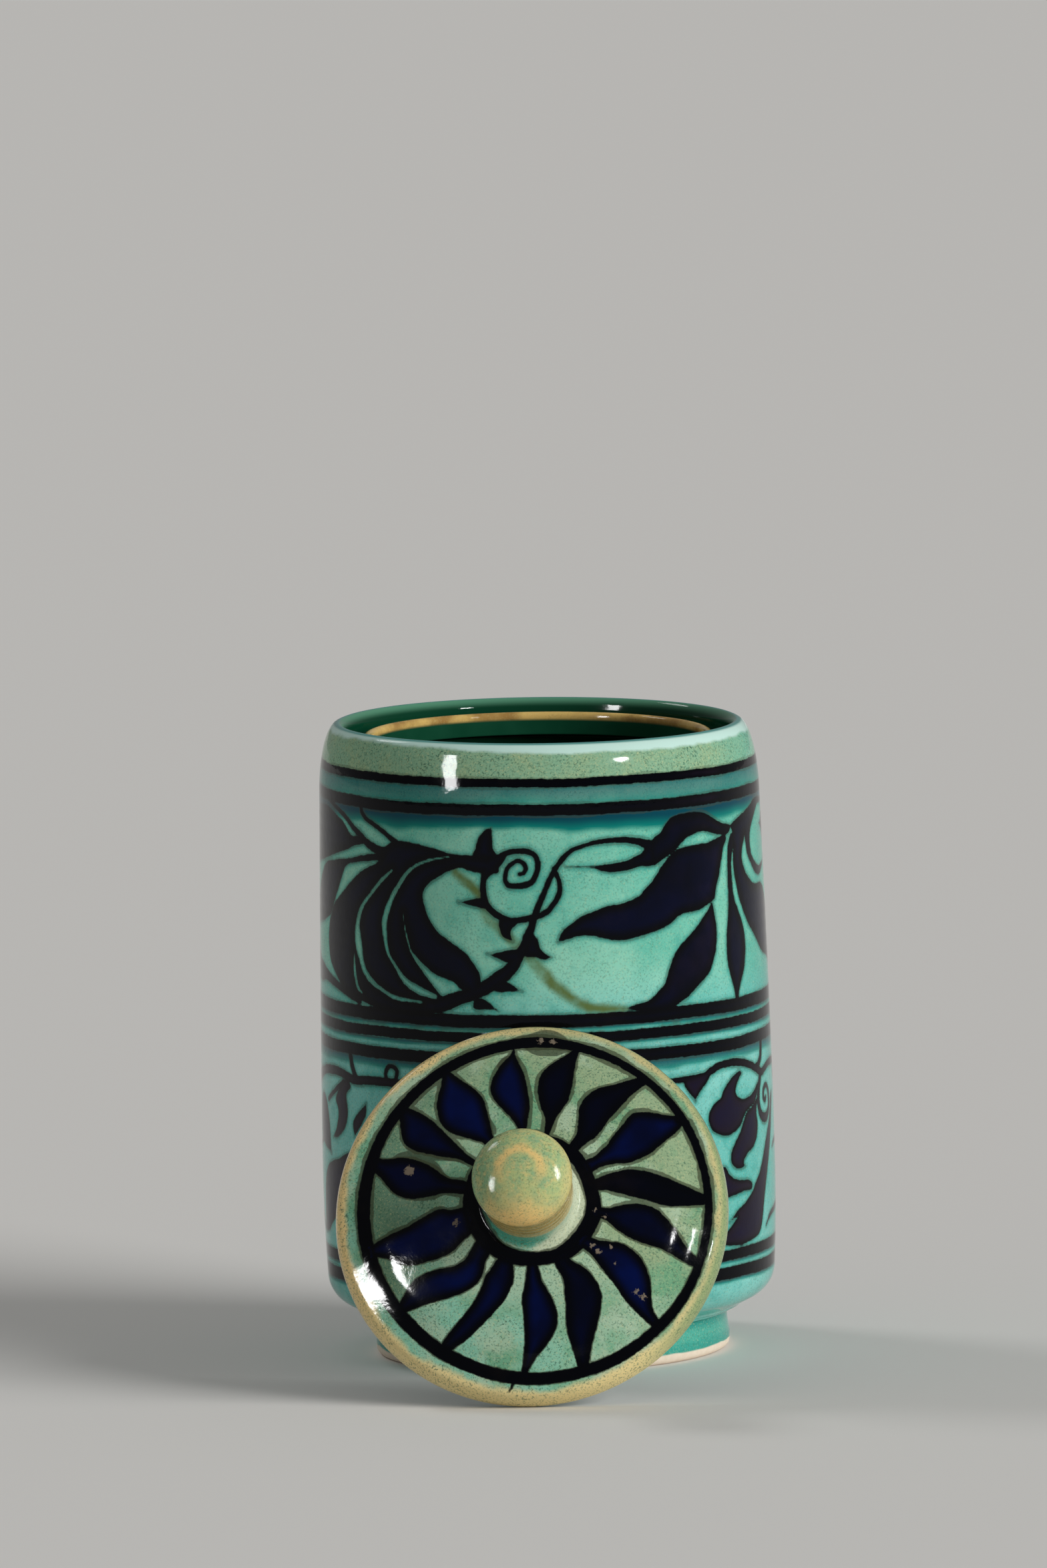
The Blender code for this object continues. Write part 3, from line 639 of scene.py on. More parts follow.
class StageLook(bpy.types.PropertyGroup):
    """Camera and light."""

    camera_back: length_property("Camera distance", "Distance of the camera in front of the jar", 4.7142)
    camera_height: length_property("Camera height", "Height of the camera", 0.7058)
    pitch: angle_property("Pitch", "How far the camera looks down", 6.837)
    yaw: angle_property("Yaw", "How far the camera looks to the side", -0.047)
    roll: angle_property("Roll", "Tilt of the picture", -1.475)
    focal_pixels: number_property("Focal length", "Focal length in pixels of the full picture", 28839.4)
    window_power: power_property("Window light", "Tall highlight on the jar's left", 33.0)
    lamp_power: power_property("Lamp", "Small highlight on the jar's right", 6.5)
    lid_window_power: power_property("Window on the lid", "Highlight on the lid's left", 12.0)
    lid_lamp_power: power_property("Lamp on the lid", "Highlight on the lid's right", 3.0)
    knob_window_power: power_property("Window on the knob", "Highlight on the knob's left", 22.0)
    knob_lamp_power: power_property("Lamp on the knob", "Highlight on the knob's right", 30.0)
    daylight: number_property("Daylight", "Strength of the broad soft light from the right", 2.65)
    back_light: number_property("Back light", "Strength of the weak light from behind on the left", 0.45)
    world_level: number_property("World level", "Brightness of the surroundings", 0.27)


class Graph:
    """Adds nodes to one node tree. Each call but node returns the new node's output socket."""

    def __init__(self, tree):
        self.tree = tree

    def node(self, kind, values, **settings):
        """The new node, with its inputs linked to sockets or set to constants, by name or number."""
        made = self.tree.nodes.new(kind)
        for key, value in settings.items():
            setattr(made, key, value)
        for key, value in values.items():
            if isinstance(value, bpy.types.NodeSocket):
                self.tree.links.new(value, made.inputs[key])
            else:
                made.inputs[key].default_value = value
        return made

    def attribute(self, name):
        return self.node("ShaderNodeAttribute", {}, attribute_name=name).outputs["Fac"]

    def place(self):
        return self.node("ShaderNodeTexCoord", {}).outputs["Object"]

    def math(self, operation, first, second=0.0):
        return self.node("ShaderNodeMath", {0: first, 1: second}, operation=operation).outputs[0]

    def plus(self, first, second):
        return self.math("ADD", first, second)

    def minus(self, first, second):
        return self.math("SUBTRACT", first, second)

    def times(self, first, second):
        return self.math("MULTIPLY", first, second)

    def larger(self, first, second):
        return self.math("MAXIMUM", first, second)

    def sway(self, noise, width):
        """A noise of 0 to 1 moved to lie evenly about 0, this wide in all."""
        return self.times(self.minus(noise, 0.5), width)

    def fade(self, value, start, end, before=0.0, after=1.0):
        """Goes smoothly from before to after as value goes from start to end."""
        values = {"Value": value, "From Min": start, "From Max": end, "To Min": before, "To Max": after}
        return self.node("ShaderNodeMapRange", values, interpolation_type="SMOOTHSTEP").outputs[0]

    def mix(self, amount, first, second):
        return self.node("ShaderNodeMix", {0: amount, 6: first, 7: second}, data_type="RGBA").outputs[2]

    def tint(self, ground, colour, value, start, end, most=1.0):
        """The ground with the colour coming in, up to most, as value goes from start to end."""
        return self.mix(self.fade(value, start, end, 0.0, most), ground, colour)

    def noise(self, place, scale, detail=3.0, roughness=0.5):
        values = {"Vector": place, "Scale": scale, "Detail": detail, "Roughness": roughness}
        return self.node("ShaderNodeTexNoise", values).outputs[0]

    def layer(self, name, fill, colours, numbers):
        """The colour from the shared group of this name, which fill(graph, inputs) fills at first use."""
        tree = bpy.data.node_groups.get(name) or shared_group(name, fill, colours, numbers)
        return self.node("ShaderNodeGroup", {**colours, **numbers}, node_tree=tree).outputs["Colour"]


def shared_group(name, fill, colours, numbers):
    """A node group with these colour and number inputs that puts out one colour."""
    tree = bpy.data.node_groups.new(name, "ShaderNodeTree")
    for labels, kind in ((colours, "NodeSocketColor"), (numbers, "NodeSocketFloat")):
        for label in labels:
            tree.interface.new_socket(label, in_out="INPUT", socket_type=kind)
    tree.interface.new_socket("Colour", in_out="OUTPUT", socket_type="NodeSocketColor")
    source = tree.nodes.new("NodeGroupInput").outputs
    sink = tree.nodes.new("NodeGroupOutput").inputs
    tree.links.new(fill(Graph(tree), source), sink["Colour"])
    return tree


def tints():
    """The colours set in the panel."""
    return bpy.context.scene.pottery_colours


def speck_layers(graph, source):
    """Fine dark and pale specks of a hand-mixed glaze over a colour, more of them in patches."""
    place = graph.place()
    patch = graph.fade(graph.noise(place, 90.0), 0.3, 0.7, 0.5, 1.0)
    grain = graph.fade(graph.noise(place, 1900.0, 3.0, 0.7), 0.5, 0.66)
    dark = graph.times(graph.times(grain, patch), source["Amount"])
    pale_grain = graph.fade(graph.noise(place, 2100.0, 3.0, 0.7), 0.52, 0.68, 0.0, 0.5)
    warm = graph.times(pale_grain, source["Amount"])
    return graph.mix(dark, graph.mix(warm, source["Colour"], SPECK_WARM), source["Dark"])


def speckled(graph, colour, dark, amount):
    """The colour with specks in it."""
    return graph.layer("glaze_specks", speck_layers, {"Colour": colour, "Dark": dark}, {"Amount": amount})


def paint_layers(graph, source):
    """Underglaze painting from a signed distance in millimetres, with a wavering edge.

    Inside it is ink, browner in clouds, cobalt where it lies thick, and plum where a painted reflection of
    brown wood lies on it. Outside it has an olive halo.
    """
    place = graph.place()
    distance = graph.plus(source["Distance"], graph.sway(graph.noise(place, 700.0), 0.55))
    ink = graph.fade(distance, PAINT_SOFTNESS, -PAINT_SOFTNESS)
    swell = graph.fade(graph.noise(place, 110.0, 2.0), 0.3, 0.7, 0.4, 1.4)
    from_halo = graph.minus(distance, graph.times(source["Reach"], swell))
    halo = graph.times(graph.fade(from_halo, HALO_SOFTNESS, -HALO_SOFTNESS), source["Halo"])
    thick = graph.fade(source["Distance"], -0.5, -3.2)
    pools = graph.fade(graph.noise(place, 60.0), 0.32, 0.62, 0.35, 1.0)
    cobalt = graph.times(graph.times(thick, pools), source["Cobalt"])
    # Painted reflection: plum in the ink where brown wood would be seen mirrored in it.
    plum_reflection = graph.times(graph.fade(source["Distance"], -0.1, -1.2), source["Plum"])
    pigment = graph.tint(tints().ink, INK_BROWN, graph.noise(place, 60.0, 4.0, 0.6), 0.56, 0.72, 0.6)
    pigment = graph.mix(cobalt, graph.mix(plum_reflection, pigment, PLUM_REFLECTION), tints().cobalt)
    return graph.mix(ink, graph.mix(halo, source["Ground"], HALO_OLIVE), pigment)


def paint_over(graph, ground, halo, reach, cobalt=0.0, plum_reflection=0.0):
    """The ground with the painting over it; halo is the halo's strength, reach its width in millimetres."""
    ink = graph.attribute("ink")
    numbers = {"Distance": ink, "Halo": halo, "Reach": reach, "Cobalt": cobalt, "Plum": plum_reflection}
    return graph.layer("underglaze_painting", paint_layers, {"Ground": ground}, numbers)


def glaze_shader(name, colour_of, grain, roughness_of):
    """A glaze whose colour_of and roughness_of(graph) give sockets; grain is the depth of its fine pits."""
    material = bpy.data.materials.new(name)
    material.use_nodes = True
    tree = material.node_tree
    tree.nodes.clear()
    graph = Graph(tree)
    shader = graph.node("ShaderNodeBsdfPrincipled", {"IOR": GLAZE_IOR})
    tree.links.new(colour_of(graph), shader.inputs["Base Color"])
    tree.links.new(roughness_of(graph), shader.inputs["Roughness"])
    place = graph.place()
    pits = graph.times(graph.noise(place, 2400.0, 2.0), grain)
    height = graph.plus(graph.noise(place, 420.0, 2.0), pits)
    bump = graph.node("ShaderNodeBump", {"Strength": 0.05, "Distance": 0.0006, "Height": height})
    tree.links.new(bump.outputs[0], shader.inputs["Normal"])
    sink = tree.nodes.new("ShaderNodeOutputMaterial")
    tree.links.new(shader.outputs[0], sink.inputs["Surface"])
    return material


def glossy(graph):
    """Roughness of a well-fired glaze, a little duller in clouds."""
    return graph.fade(graph.noise(graph.place(), 80.0), 0.35, 0.7, 0.05, 0.11)


def wall_colour(graph):
    """Turquoise ground, a celadon band under a pale rim, bleeding blue and the painting.

    The rim's pale is thin glaze with a painted highlight over it. The ground deepens to the right, partly
    as painted shade, and the ink carries a painted plum reflection. The rim's crest is teal and its inner
    bevel green, lighter at its top as painted light. Heights and radii are in millimetres.
    """
    place = graph.place()
    height = graph.attribute("height")
    radius = graph.attribute("radius")
    side = graph.attribute("side")
    clouds = graph.noise(place, 34.0, 4.0, 0.6)
    pale = graph.fade(clouds, 0.36, 0.66)
    upper = graph.mix(pale, tints().turquoise, TURQUOISE_PALE)
    lower = graph.mix(pale, TURQUOISE_LOW, TURQUOISE_LOW_PALE)
    ground = graph.mix(graph.fade(height, 104.0, 84.0), upper, lower)
    ground = graph.tint(ground, TURQUOISE_DEEP, graph.noise(place, 260.0, 3.0, 0.6), 0.5, 0.8, 0.4)
    # Deeper towards the right edge and the back: partly deeper glaze, partly painted shade where the wall
    # turns from the light.
    ground = graph.tint(ground, TURQUOISE_DEEP, side, 0.35, 0.85, 0.5)
    ground = graph.tint(ground, TURQUOISE_DEEP, graph.attribute("ink"), 1.6, 0.0, 0.6)
    warm = graph.noise(place, 130.0, 5.0, 0.7)
    band = graph.tint(tints().celadon, CELADON_WARM, warm, 0.42, 0.7, 0.75)
    band = graph.tint(band, tints().turquoise, side, 0.2, 0.75, 0.6)
    edge = graph.plus(height, graph.times(graph.noise(place, 150.0), 2.0))
    ground = graph.tint(ground, band, edge, *CELADON_EDGE)
    ground = speckled(graph, ground, SPECK_DARK, graph.fade(edge, *CELADON_EDGE, 0.45, 0.9))
    # The pale rim: thin glaze on the outer crest with a painted highlight over it, broader on the right.
    thin = graph.minus(edge, graph.fade(side, -0.6, -0.95))
    ground = graph.tint(ground, RIM_PALE_HIGHLIGHT, thin, 154.6, 155.6, 0.95)
    crest = graph.times(graph.fade(radius, 50.6, 49.9), graph.fade(height, 154.8, 155.6, 0.0, 0.85))
    ground = graph.mix(crest, ground, RIM_TEAL)
    # The inner bevel: green glaze, lighter towards the crest as painted light on its lit top.
    inner = graph.times(graph.fade(radius, 49.2, 48.6), graph.fade(height, 149.0, 151.0))
    bevel = graph.tint(tints().inside_green, BEVEL_PAINTED_LIGHT, height, 154.2, 156.3)
    ground = graph.mix(inner, ground, bevel)
    blue = graph.tint(BLEED_TEAL, BLEED_BLUE, graph.attribute("run"), 0.05, 0.8)
    ground = graph.mix(graph.attribute("bleed"), ground, blue)
    olive = graph.plus(graph.attribute("olive"), graph.times(graph.noise(place, 500.0), 0.8))
    stain = graph.fade(graph.noise(place, 120.0), 0.36, 0.64, 0.5, 0.95)
    ground = graph.mix(graph.times(graph.fade(olive, 1.4, -0.6), stain), ground, tints().olive)
    # Painted reflection of brown wood in the ink of the lower frieze, and in clouds on the leaves on the
    # right.
    reflection_low = graph.times(graph.fade(height, 77.0, 70.0), graph.fade(height, 28.4, 31.0))
    reflection_right = graph.times(graph.fade(side, -0.2, 0.3), graph.fade(height, 90.6, 96.0))
    reflection_right = graph.times(reflection_right, graph.fade(clouds, 0.44, 0.6, 0.0, 0.6))
    plum_reflection = graph.larger(reflection_low, reflection_right)
    return paint_over(graph, ground, halo=0.4, reach=0.45, cobalt=0.2, plum_reflection=plum_reflection)


def bare_clay(graph):
    """Where the foot is bare: 1 below an uneven line, 0 on the glaze above it."""
    dips = graph.times(graph.noise(graph.place(), 70.0, 2.0), -2.2)
    return graph.fade(graph.plus(graph.attribute("height"), dips), 1.6, 1.1)


def foot_colour(graph):
    """Turquoise glaze, deep in the crease above and thick at its lower edge, then bare clay."""
    place = graph.place()
    height = graph.attribute("height")
    tone = graph.mix(graph.noise(place, 60.0), TURQUOISE_DEEP, tints().turquoise)
    tone = graph.tint(tone, TURQUOISE_DEEP, height, 6.4, 8.8, 0.85)
    tone = graph.tint(tone, TURQUOISE_DEEP, height, 5.4, 3.6, 0.5)
    clay = graph.mix(graph.noise(place, 900.0, 4.0, 0.7), tints().clay, CLAY_WARM)
    return graph.mix(bare_clay(graph), speckled(graph, tone, SPECK_DARK, 0.5), clay)


def foot_roughness(graph):
    """Glossy on the glaze, dull on the clay."""
    return graph.fade(bare_clay(graph), 0.0, 1.0, 0.08, 0.85)


def inside_colour(graph):
    """Dark green glaze inside, a little lighter in clouds."""
    return graph.tint(tints().inside_green, RIM_GREEN, graph.noise(graph.place(), 50.0), 0.4, 0.8)


def gallery_colour(graph):
    """Golden thin glaze on the lip, green where it pools in the trough."""
    clouds = graph.noise(graph.place(), 120.0)
    trough = graph.mix(clouds, tints().inside_green, RIM_GREEN)
    gold = graph.tint(tints().lip_gold, LIP_BROWN, clouds, 0.4, 0.7)
    lip = speckled(graph, gold, LIP_BROWN, 0.4)
    return graph.tint(trough, lip, graph.attribute("height"), 151.4, 152.3)


def collar_colour(graph, radius, blotch):
    """Cream round the knob's foot, with turquoise pooled against its stem, least on the right."""
    right = graph.times(graph.larger(graph.attribute("across"), 0.0), 0.2)
    reach = graph.plus(graph.plus(radius, right), graph.sway(blotch, 3.0))
    return graph.tint(CREAM, POOL_TURQUOISE, reach, 13.4, 11.8)


def lid_colour(graph):
    """Speckled green-turquoise face with painted shade on its left, thin golden edge with painted light on
    its left and bottom, cream collar, grey washes and painted rosette.
    """
    place = graph.place()
    radius = graph.attribute("radius")
    across = graph.attribute("across")
    upward = graph.attribute("upward")
    clouds = graph.noise(place, 30.0, 3.0, 0.6)
    drift = graph.sway(clouds, 1.0)
    blotch = graph.noise(place, 85.0, 4.0, 0.6)
    wash = graph.plus(graph.attribute("wash"), drift)
    ground = graph.tint(tints().lid_green, LID_TURQUOISE, wash, 0.2, 0.9)
    ground = graph.tint(ground, CELADON_WARM, blotch, 0.5, 0.74, 0.5)
    ground = graph.tint(ground, LID_DEEP, graph.noise(place, 58.0, 4.0, 0.62), 0.45, 0.62, 0.8)
    ground = graph.tint(ground, LID_PALE, graph.noise(place, 76.0, 4.0, 0.62), 0.48, 0.64, 0.7)
    pale = graph.times(graph.fade(radius, 30.0, 20.0), graph.fade(upward, -6.0, -18.0, 0.0, 0.6))
    ground = graph.mix(pale, ground, LID_PALE)
    # Painted shade: darker towards the lid's left, standing in for the knob's shadow, fading out before the
    # edge.
    shade = graph.plus(graph.attribute("shade"), drift)
    painted_shade_share = graph.times(graph.fade(shade, 0.3, 1.0, 0.0, 0.85), graph.fade(radius, 44.0, 41.0))
    ground = graph.mix(painted_shade_share, ground, LID_PAINTED_SHADE)
    # Painted light: the golden edge is lighter on the left and at the bottom, and on the left it reaches
    # further in, standing in for light falling there.
    left = graph.fade(across, 10.0, -30.0)
    gold = graph.mix(left, tints().edge_gold, GOLD_LEFT_PAINTED_LIGHT)
    gold = graph.tint(gold, GOLD_LOW_PAINTED_LIGHT, upward, -14.0, -42.0)
    reach = graph.plus(graph.plus(radius, graph.sway(blotch, 5.0)), graph.times(left, 0.7))
    ground = graph.tint(ground, gold, reach, 44.8, 46.6)
    green = graph.times(graph.fade(radius, 46.0, 47.4), graph.fade(across, 24.0, 42.0, 0.0, 0.8))
    ground = graph.mix(green, ground, EDGE_GREEN)
    ground = graph.tint(ground, collar_colour(graph, radius, blotch), radius, 16.4, 14.6)
    ground = speckled(graph, ground, SPECK_DARK, 0.85)
    ground = graph.tint(ground, THIN_GREY, graph.attribute("thin"), PAINT_SOFTNESS, -PAINT_SOFTNESS, 0.8)
    halo_reach = graph.fade(upward, -24.0, 0.0, 0.2, 0.75)
    face = paint_over(graph, ground, halo=0.8, reach=halo_reach, cobalt=graph.attribute("cobalt"))
    fleck = graph.plus(graph.attribute("fleck"), graph.sway(graph.noise(place, 1500.0), 2.4))
    return graph.tint(face, FLECK_GREY, fleck, 0.1, -0.4, 0.85)


def knob_colour(graph):
    """Mottled green with a broken golden ring above and gold below, a brown stem, and the collar's foot."""
    place = graph.place()
    radius = graph.attribute("radius")
    rise = graph.attribute("height")
    upward = graph.attribute("upward")
    across = graph.attribute("across")
    blotch = graph.noise(place, 190.0, 5.0, 0.65)
    sway = graph.sway(blotch, 4.0)
    reach = graph.plus(radius, sway)
    cells = graph.noise(place, 240.0, 6.0, 0.75)
    green = graph.tint(tints().knob_green, KNOB_TURQUOISE, cells, 0.38, 0.66, 0.8)
    green = graph.tint(green, KNOB_TURQUOISE, graph.plus(across, sway), 0.0, -11.0, 0.7)
    from_ring = graph.math("ABSOLUTE", graph.minus(reach, 5.4))
    ring = graph.times(graph.fade(from_ring, 1.8, 0.2, 0.0, 0.85), graph.fade(upward, -6.0, 3.0))
    low = graph.fade(graph.plus(upward, graph.times(sway, 2.5)), -4.5, -11.5)
    rim = graph.times(graph.fade(reach, 9.8, 12.4), graph.fade(across, -9.0, 4.0, 0.0, 0.5))
    mottle = graph.fade(graph.noise(place, 620.0, 5.0, 0.75), 0.45, 0.62, 0.0, 0.38)
    golden = graph.larger(graph.larger(ring, low), graph.larger(rim, mottle))
    crown = graph.mix(golden, green, tints().knob_gold)
    waves = graph.math("SINE", graph.times(graph.plus(rise, graph.times(blotch, 4.0)), 2.6))
    grooves = graph.times(graph.fade(waves, 0.1, 0.9), graph.fade(rise, 17.0, 21.0, 0.0, 0.3))
    stem = graph.mix(grooves, KNOB_BROWN, KNOB_GROOVE)
    tone = graph.tint(crown, stem, rise, 31.4, 29.9)
    tone = graph.tint(tone, collar_colour(graph, radius, blotch), rise, 19.4, 17.6)
    return paint_over(graph, speckled(graph, tone, KNOB_SPECK, 0.85), halo=0.8, reach=0.6)


def glaze(name, colour_of, grain=0.0, roughness_of=glossy):
    """The material of this name, made the first time it is asked for."""
    return bpy.data.materials.get(name) or glaze_shader(name, colour_of, grain, roughness_of)


def smooth_closed(points, steps=5):
    """Closed curve through the points by Catmull-Rom; a point given twice gives a sharp corner."""
    knots = np.array(points, float)
    before, after, beyond = (np.roll(knots, shift, axis=0) for shift in (1, -1, -2))
    share = (np.arange(steps) / steps)[None, :, None]
    start = 0.5 * (after - before)[:, None]
    end = 0.5 * (beyond - knots)[:, None]
    return hermite(knots[:, None], after[:, None], start, end, share).reshape(-1, knots.shape[1])


def smooth_open(points, steps=5):
    """Open curve through the points by Catmull-Rom, from the first to the last."""
    knots = np.array(points, float)
    slope = np.gradient(knots, axis=0)
    share = (np.arange(steps) / steps)[None, :, None]
    curve = hermite(knots[:-1, None], knots[1:, None], slope[:-1, None], slope[1:, None], share)
    return np.concatenate([curve.reshape(-1, knots.shape[1]), knots[-1:]])


def hermite(first, last, slope_first, slope_last, share):
    """Cubic between two points with given end slopes, at shares from 0 to 1."""
    square, cube = share**2, share**3
    return (
        (2 * cube - 3 * square + 1) * first
        + (cube - 2 * square + share) * slope_first
        + (3 * square - 2 * cube) * last
        + (cube - square) * slope_last
    )


def outline_distance(x, y, outline):
    """Signed distance to a closed outline: to its nearest side, negative where a ray crosses it oddly."""
    ax, ay = outline[:, 0], outline[:, 1]
    bx, by = np.roll(ax, -1), np.roll(ay, -1)
    best = np.full(x.shape, np.inf)
    odd = np.zeros(x.shape, bool)
    for x0, y0, x1, y1 in zip(ax, ay, bx, by):
        dx, dy = x1 - x0, y1 - y0
        length = dx * dx + dy * dy
        if length < 1e-12:
            continue
        share = np.clip(((x - x0) * dx + (y - y0) * dy) / length, 0.0, 1.0)
        best = np.minimum(best, (x - x0 - share * dx) ** 2 + (y - y0 - share * dy) ** 2)
        if dy:
            crosses = ((y0 > y) != (y1 > y)) & (x < x0 + (y - y0) * dx / dy)
            odd ^= crosses
    return np.where(odd, -1.0, 1.0) * np.sqrt(best)


def stroke_distance(x, y, line):
    """Signed distance to a tapered brush stroke: distance to its middle line less half its width there."""
    best = np.full(x.shape, np.inf)
    for (x0, y0, w0), (x1, y1, w1) in zip(line[:-1], line[1:]):
        dx, dy = x1 - x0, y1 - y0
        length = max(dx * dx + dy * dy, 1e-12)
        share = np.clip(((x - x0) * dx + (y - y0) * dy) / length, 0.0, 1.0)
        away = np.hypot(x - x0 - share * dx, y - y0 - share * dy)
        best = np.minimum(best, away - 0.5 * (w0 + share * (w1 - w0)))
    return best


class Canvas:
    """Signed distances in millimetres of a painting on the unrolled wall; negative is painted."""

    def __init__(self, degrees, heights):
        self.degrees = degrees
        self.heights = heights
        self.distance = np.full(degrees.shape, FAR)

    def near(self, shape, turn):
        """The places near a shape, and their positions in the shape's own millimetres."""
        x = ((self.degrees - turn + 180.0) % 360.0 - 180.0) * MM_PER_DEGREE
        low, high = shape[:, :2].min(axis=0) - FAR, shape[:, :2].max(axis=0) + FAR
        inside = (x > low[0]) & (x < high[0]) & (self.heights > low[1]) & (self.heights < high[1])
        return inside, x[inside], self.heights[inside]

    def add(self, points, turn=0.0):
        """Adds an outline of (degrees, height) or a brush stroke of (degrees, height, width)."""
        self.distance = self.joined(self.distance, points, turn)

    def joined(self, field, points, turn):
        """The field with one more painted shape in it."""
        stroke = len(points[0]) == 3
        shape = smooth_open(points) if stroke else smooth_closed(points)
        shape[:, 0] *= MM_PER_DEGREE
        inside, x, y = self.near(shape, turn)
        if inside.any():
            found = stroke_distance(x, y, shape) if stroke else outline_distance(x, y, shape)
            field = field.copy()
            field[inside] = np.minimum(field[inside], found)
        return field

    def leave_out(self, shapes, turn):
        """Keeps these shapes free of the paint laid so far."""
        light = np.full(self.distance.shape, FAR)
        for points in shapes:
            light = self.joined(light, points, turn)
        self.distance = np.maximum(self.distance, -light)

    def line(self, edges, wave):
        """Adds a line round the wall between two heights, with a slow waver."""
        middle, half = (edges[0] + edges[1]) / 2, (edges[0] - edges[1]) / 2
        self.distance = np.minimum(self.distance, np.abs(self.heights + wave - middle) - half)


def waver(degrees, seed, height=1.0):
    """Sum of a few round-the-jar waves with seeded phases, of about the given height."""
    phases = np.random.default_rng(seed).uniform(0, 2 * np.pi, 6)
    turns = np.array((3, 5, 9, 14, 23, 37))
    waves = np.sin(np.radians(degrees)[..., None] * turns + phases) / np.sqrt(turns)
    return height * waves.sum(axis=-1) / 1.2


def upper_frieze(canvas):
    """Large leaves, thorny stems and a spiral between the shoulder line and the middle lines."""
    for turn in UPPER_TURNS:
        canvas.add(CLUSTER, turn)
        canvas.leave_out((*GAPS_BRUSHED, GAP_LENS), turn)
    leaves = (
        LEAF_TOP_LEFT, LEAF_SIDE_LEFT, LEAF_BELOW_SPIRAL, LEAF_TOP_RIGHT, LEAF_MIDDLE_RIGHT,
        LEAF_HANGING_RIGHT, LEAF_SPEAR, LEAF_FAR_RIGHT, *THORNS, *STROKES_UPPER,
    )
    for turn in UPPER_TURNS:
        for points in leaves:
            canvas.add(points, turn)


def lower_frieze(canvas):
    """Palmettes and scrolls between the middle lines and the heel lines."""
    for turn in PALMETTE_TURNS:
        for points in (*PALMETTE_LEAVES, *PALMETTE_STROKES):
            canvas.add(points, turn)
    for turn in SCROLL_TURNS:
        for points in (*SCROLL_LEAVES, *SCROLL_STROKES, *LINKS_TO_SCROLL, LINK_FROM_SCROLL):
            canvas.add(points, turn)
    for turn in PALMETTE_TURNS[1:3]:
        for points in LINKS_TO_PALMETTE:
            canvas.add(points, turn)


def wall_painting(degrees, heights):
    """The wall's painted distances: (ink, olive under-stroke)."""
    canvas = Canvas(degrees, heights)
    if heights.max() > UPPER_FRIEZE_LOW:
        upper_frieze(canvas)
    if heights.min() < LOWER_FRIEZE_HIGH:
        lower_frieze(canvas)
    lines = (LINE_RIM, LINE_SHOULDER, *LINES_MIDDLE, *LINES_HEEL)
    for seed, edges in enumerate(lines):
        canvas.line(edges, waver(degrees, seed, LINE_WAVER))
    under = Canvas(degrees, heights)
    for turn in UPPER_TURNS:
        under.add(STROKE_OLIVE, turn)
    return canvas.distance, under.distance


def bleeding(ink, heights, degrees):
    """Blue that ran down, as (cover, nearness to its source).

    Every painted edge has a short smear below it. Under a line round the wall the cover is full down to a
    soft, wavering edge, and the nearness falls evenly from the line to there.
    """
    step = abs(heights[1, 0] - heights[0, 0])
    paint = np.clip(0.5 - ink / SMEAR_SOFTNESS, 0.0, 1.0)
    cover = np.zeros(heights.shape)
    for offset in range(1, int(SMEAR / step)):
        share = SMEAR_STRENGTH * (1.0 - offset * step / SMEAR)
        cover[offset:] = np.maximum(cover[offset:], paint[:-offset] * share)
    near = cover.copy()
    for seed, (edges, reach, strength) in enumerate(LINE_BLEEDS):
        depth = edges[1] + RUN_OVERLAP - heights
        sway = 1.0 + RUN_WAVER * waver(degrees, RUN_SEED + seed)
        length = reach * np.clip(sway, RUN_SHORTEST, None)
        left = np.where(depth > 0.0, 1.0 - depth / length, 0.0)
        cover = np.maximum(cover, strength * np.clip(left / RUN_END, 0.0, 1.0))
        near = np.maximum(near, left)
    return cover, near


def grid_mesh(name, places, material, fields, cap=False, flip=False):
    """A mesh over a (rows, columns, 3) grid closed round its columns; a cap joins the last row to a point.

    Its faces point left of the way the rows run, seen in the profile; flip turns them round.
    """
    rows, columns = places.shape[:2]
    index = np.arange(rows * columns).reshape(rows, columns)
    right = np.roll(index, -1, axis=1)
    quads = np.stack([index[:-1], index[1:], right[1:], right[:-1]], axis=-1).reshape(-1, 4)
    points = places.reshape(-1, 3)
    faces = quads.tolist()
    if cap:
        points = np.concatenate([points, places[-1].mean(axis=0)[None]])
        tip = np.full(columns, rows * columns)
        faces += np.stack([index[-1], tip, right[-1]], axis=-1).tolist()
    if flip:
        faces = [corners[::-1] for corners in faces]
    mesh = bpy.data.meshes.new(name)
    mesh.from_pydata(points.tolist(), [], faces)
    mesh.polygons.foreach_set("use_smooth", np.ones(len(mesh.polygons), bool))
    for label, values in fields.items():
        flat = values.reshape(-1)
        if cap:
            flat = np.append(flat, values[-1].mean())
        layer = mesh.attributes.new(label, "FLOAT", "POINT")
        layer.data.foreach_set("value", flat.astype(np.float32))
    mesh.materials.append(material)
    mesh.update()
    piece = bpy.data.objects.new(name, mesh)
    bpy.context.scene.collection.objects.link(piece)
    return piece


def turned_grid(profile, columns):
    """Angles, radii and heights of a profile turned round an axis, one row for each of its points."""
    angle = np.linspace(0.0, 2 * np.pi, columns, endpoint=False)
    radii = np.repeat(profile[:, :1], columns, axis=1)
    heights = np.repeat(profile[:, 1:], columns, axis=1)
    return np.broadcast_to(angle, radii.shape), radii, heights


def spaced(profile, step):
    """The profile's polyline cut again at about equal steps."""
    lengths = np.hypot(*np.diff(profile, axis=0).T)
    along = np.concatenate([[0.0], np.cumsum(lengths)])
    places = np.linspace(0.0, along[-1], max(2, int(math.ceil(along[-1] / step)) + 1))
    return np.stack([np.interp(places, along, values) for values in profile.T], axis=1)


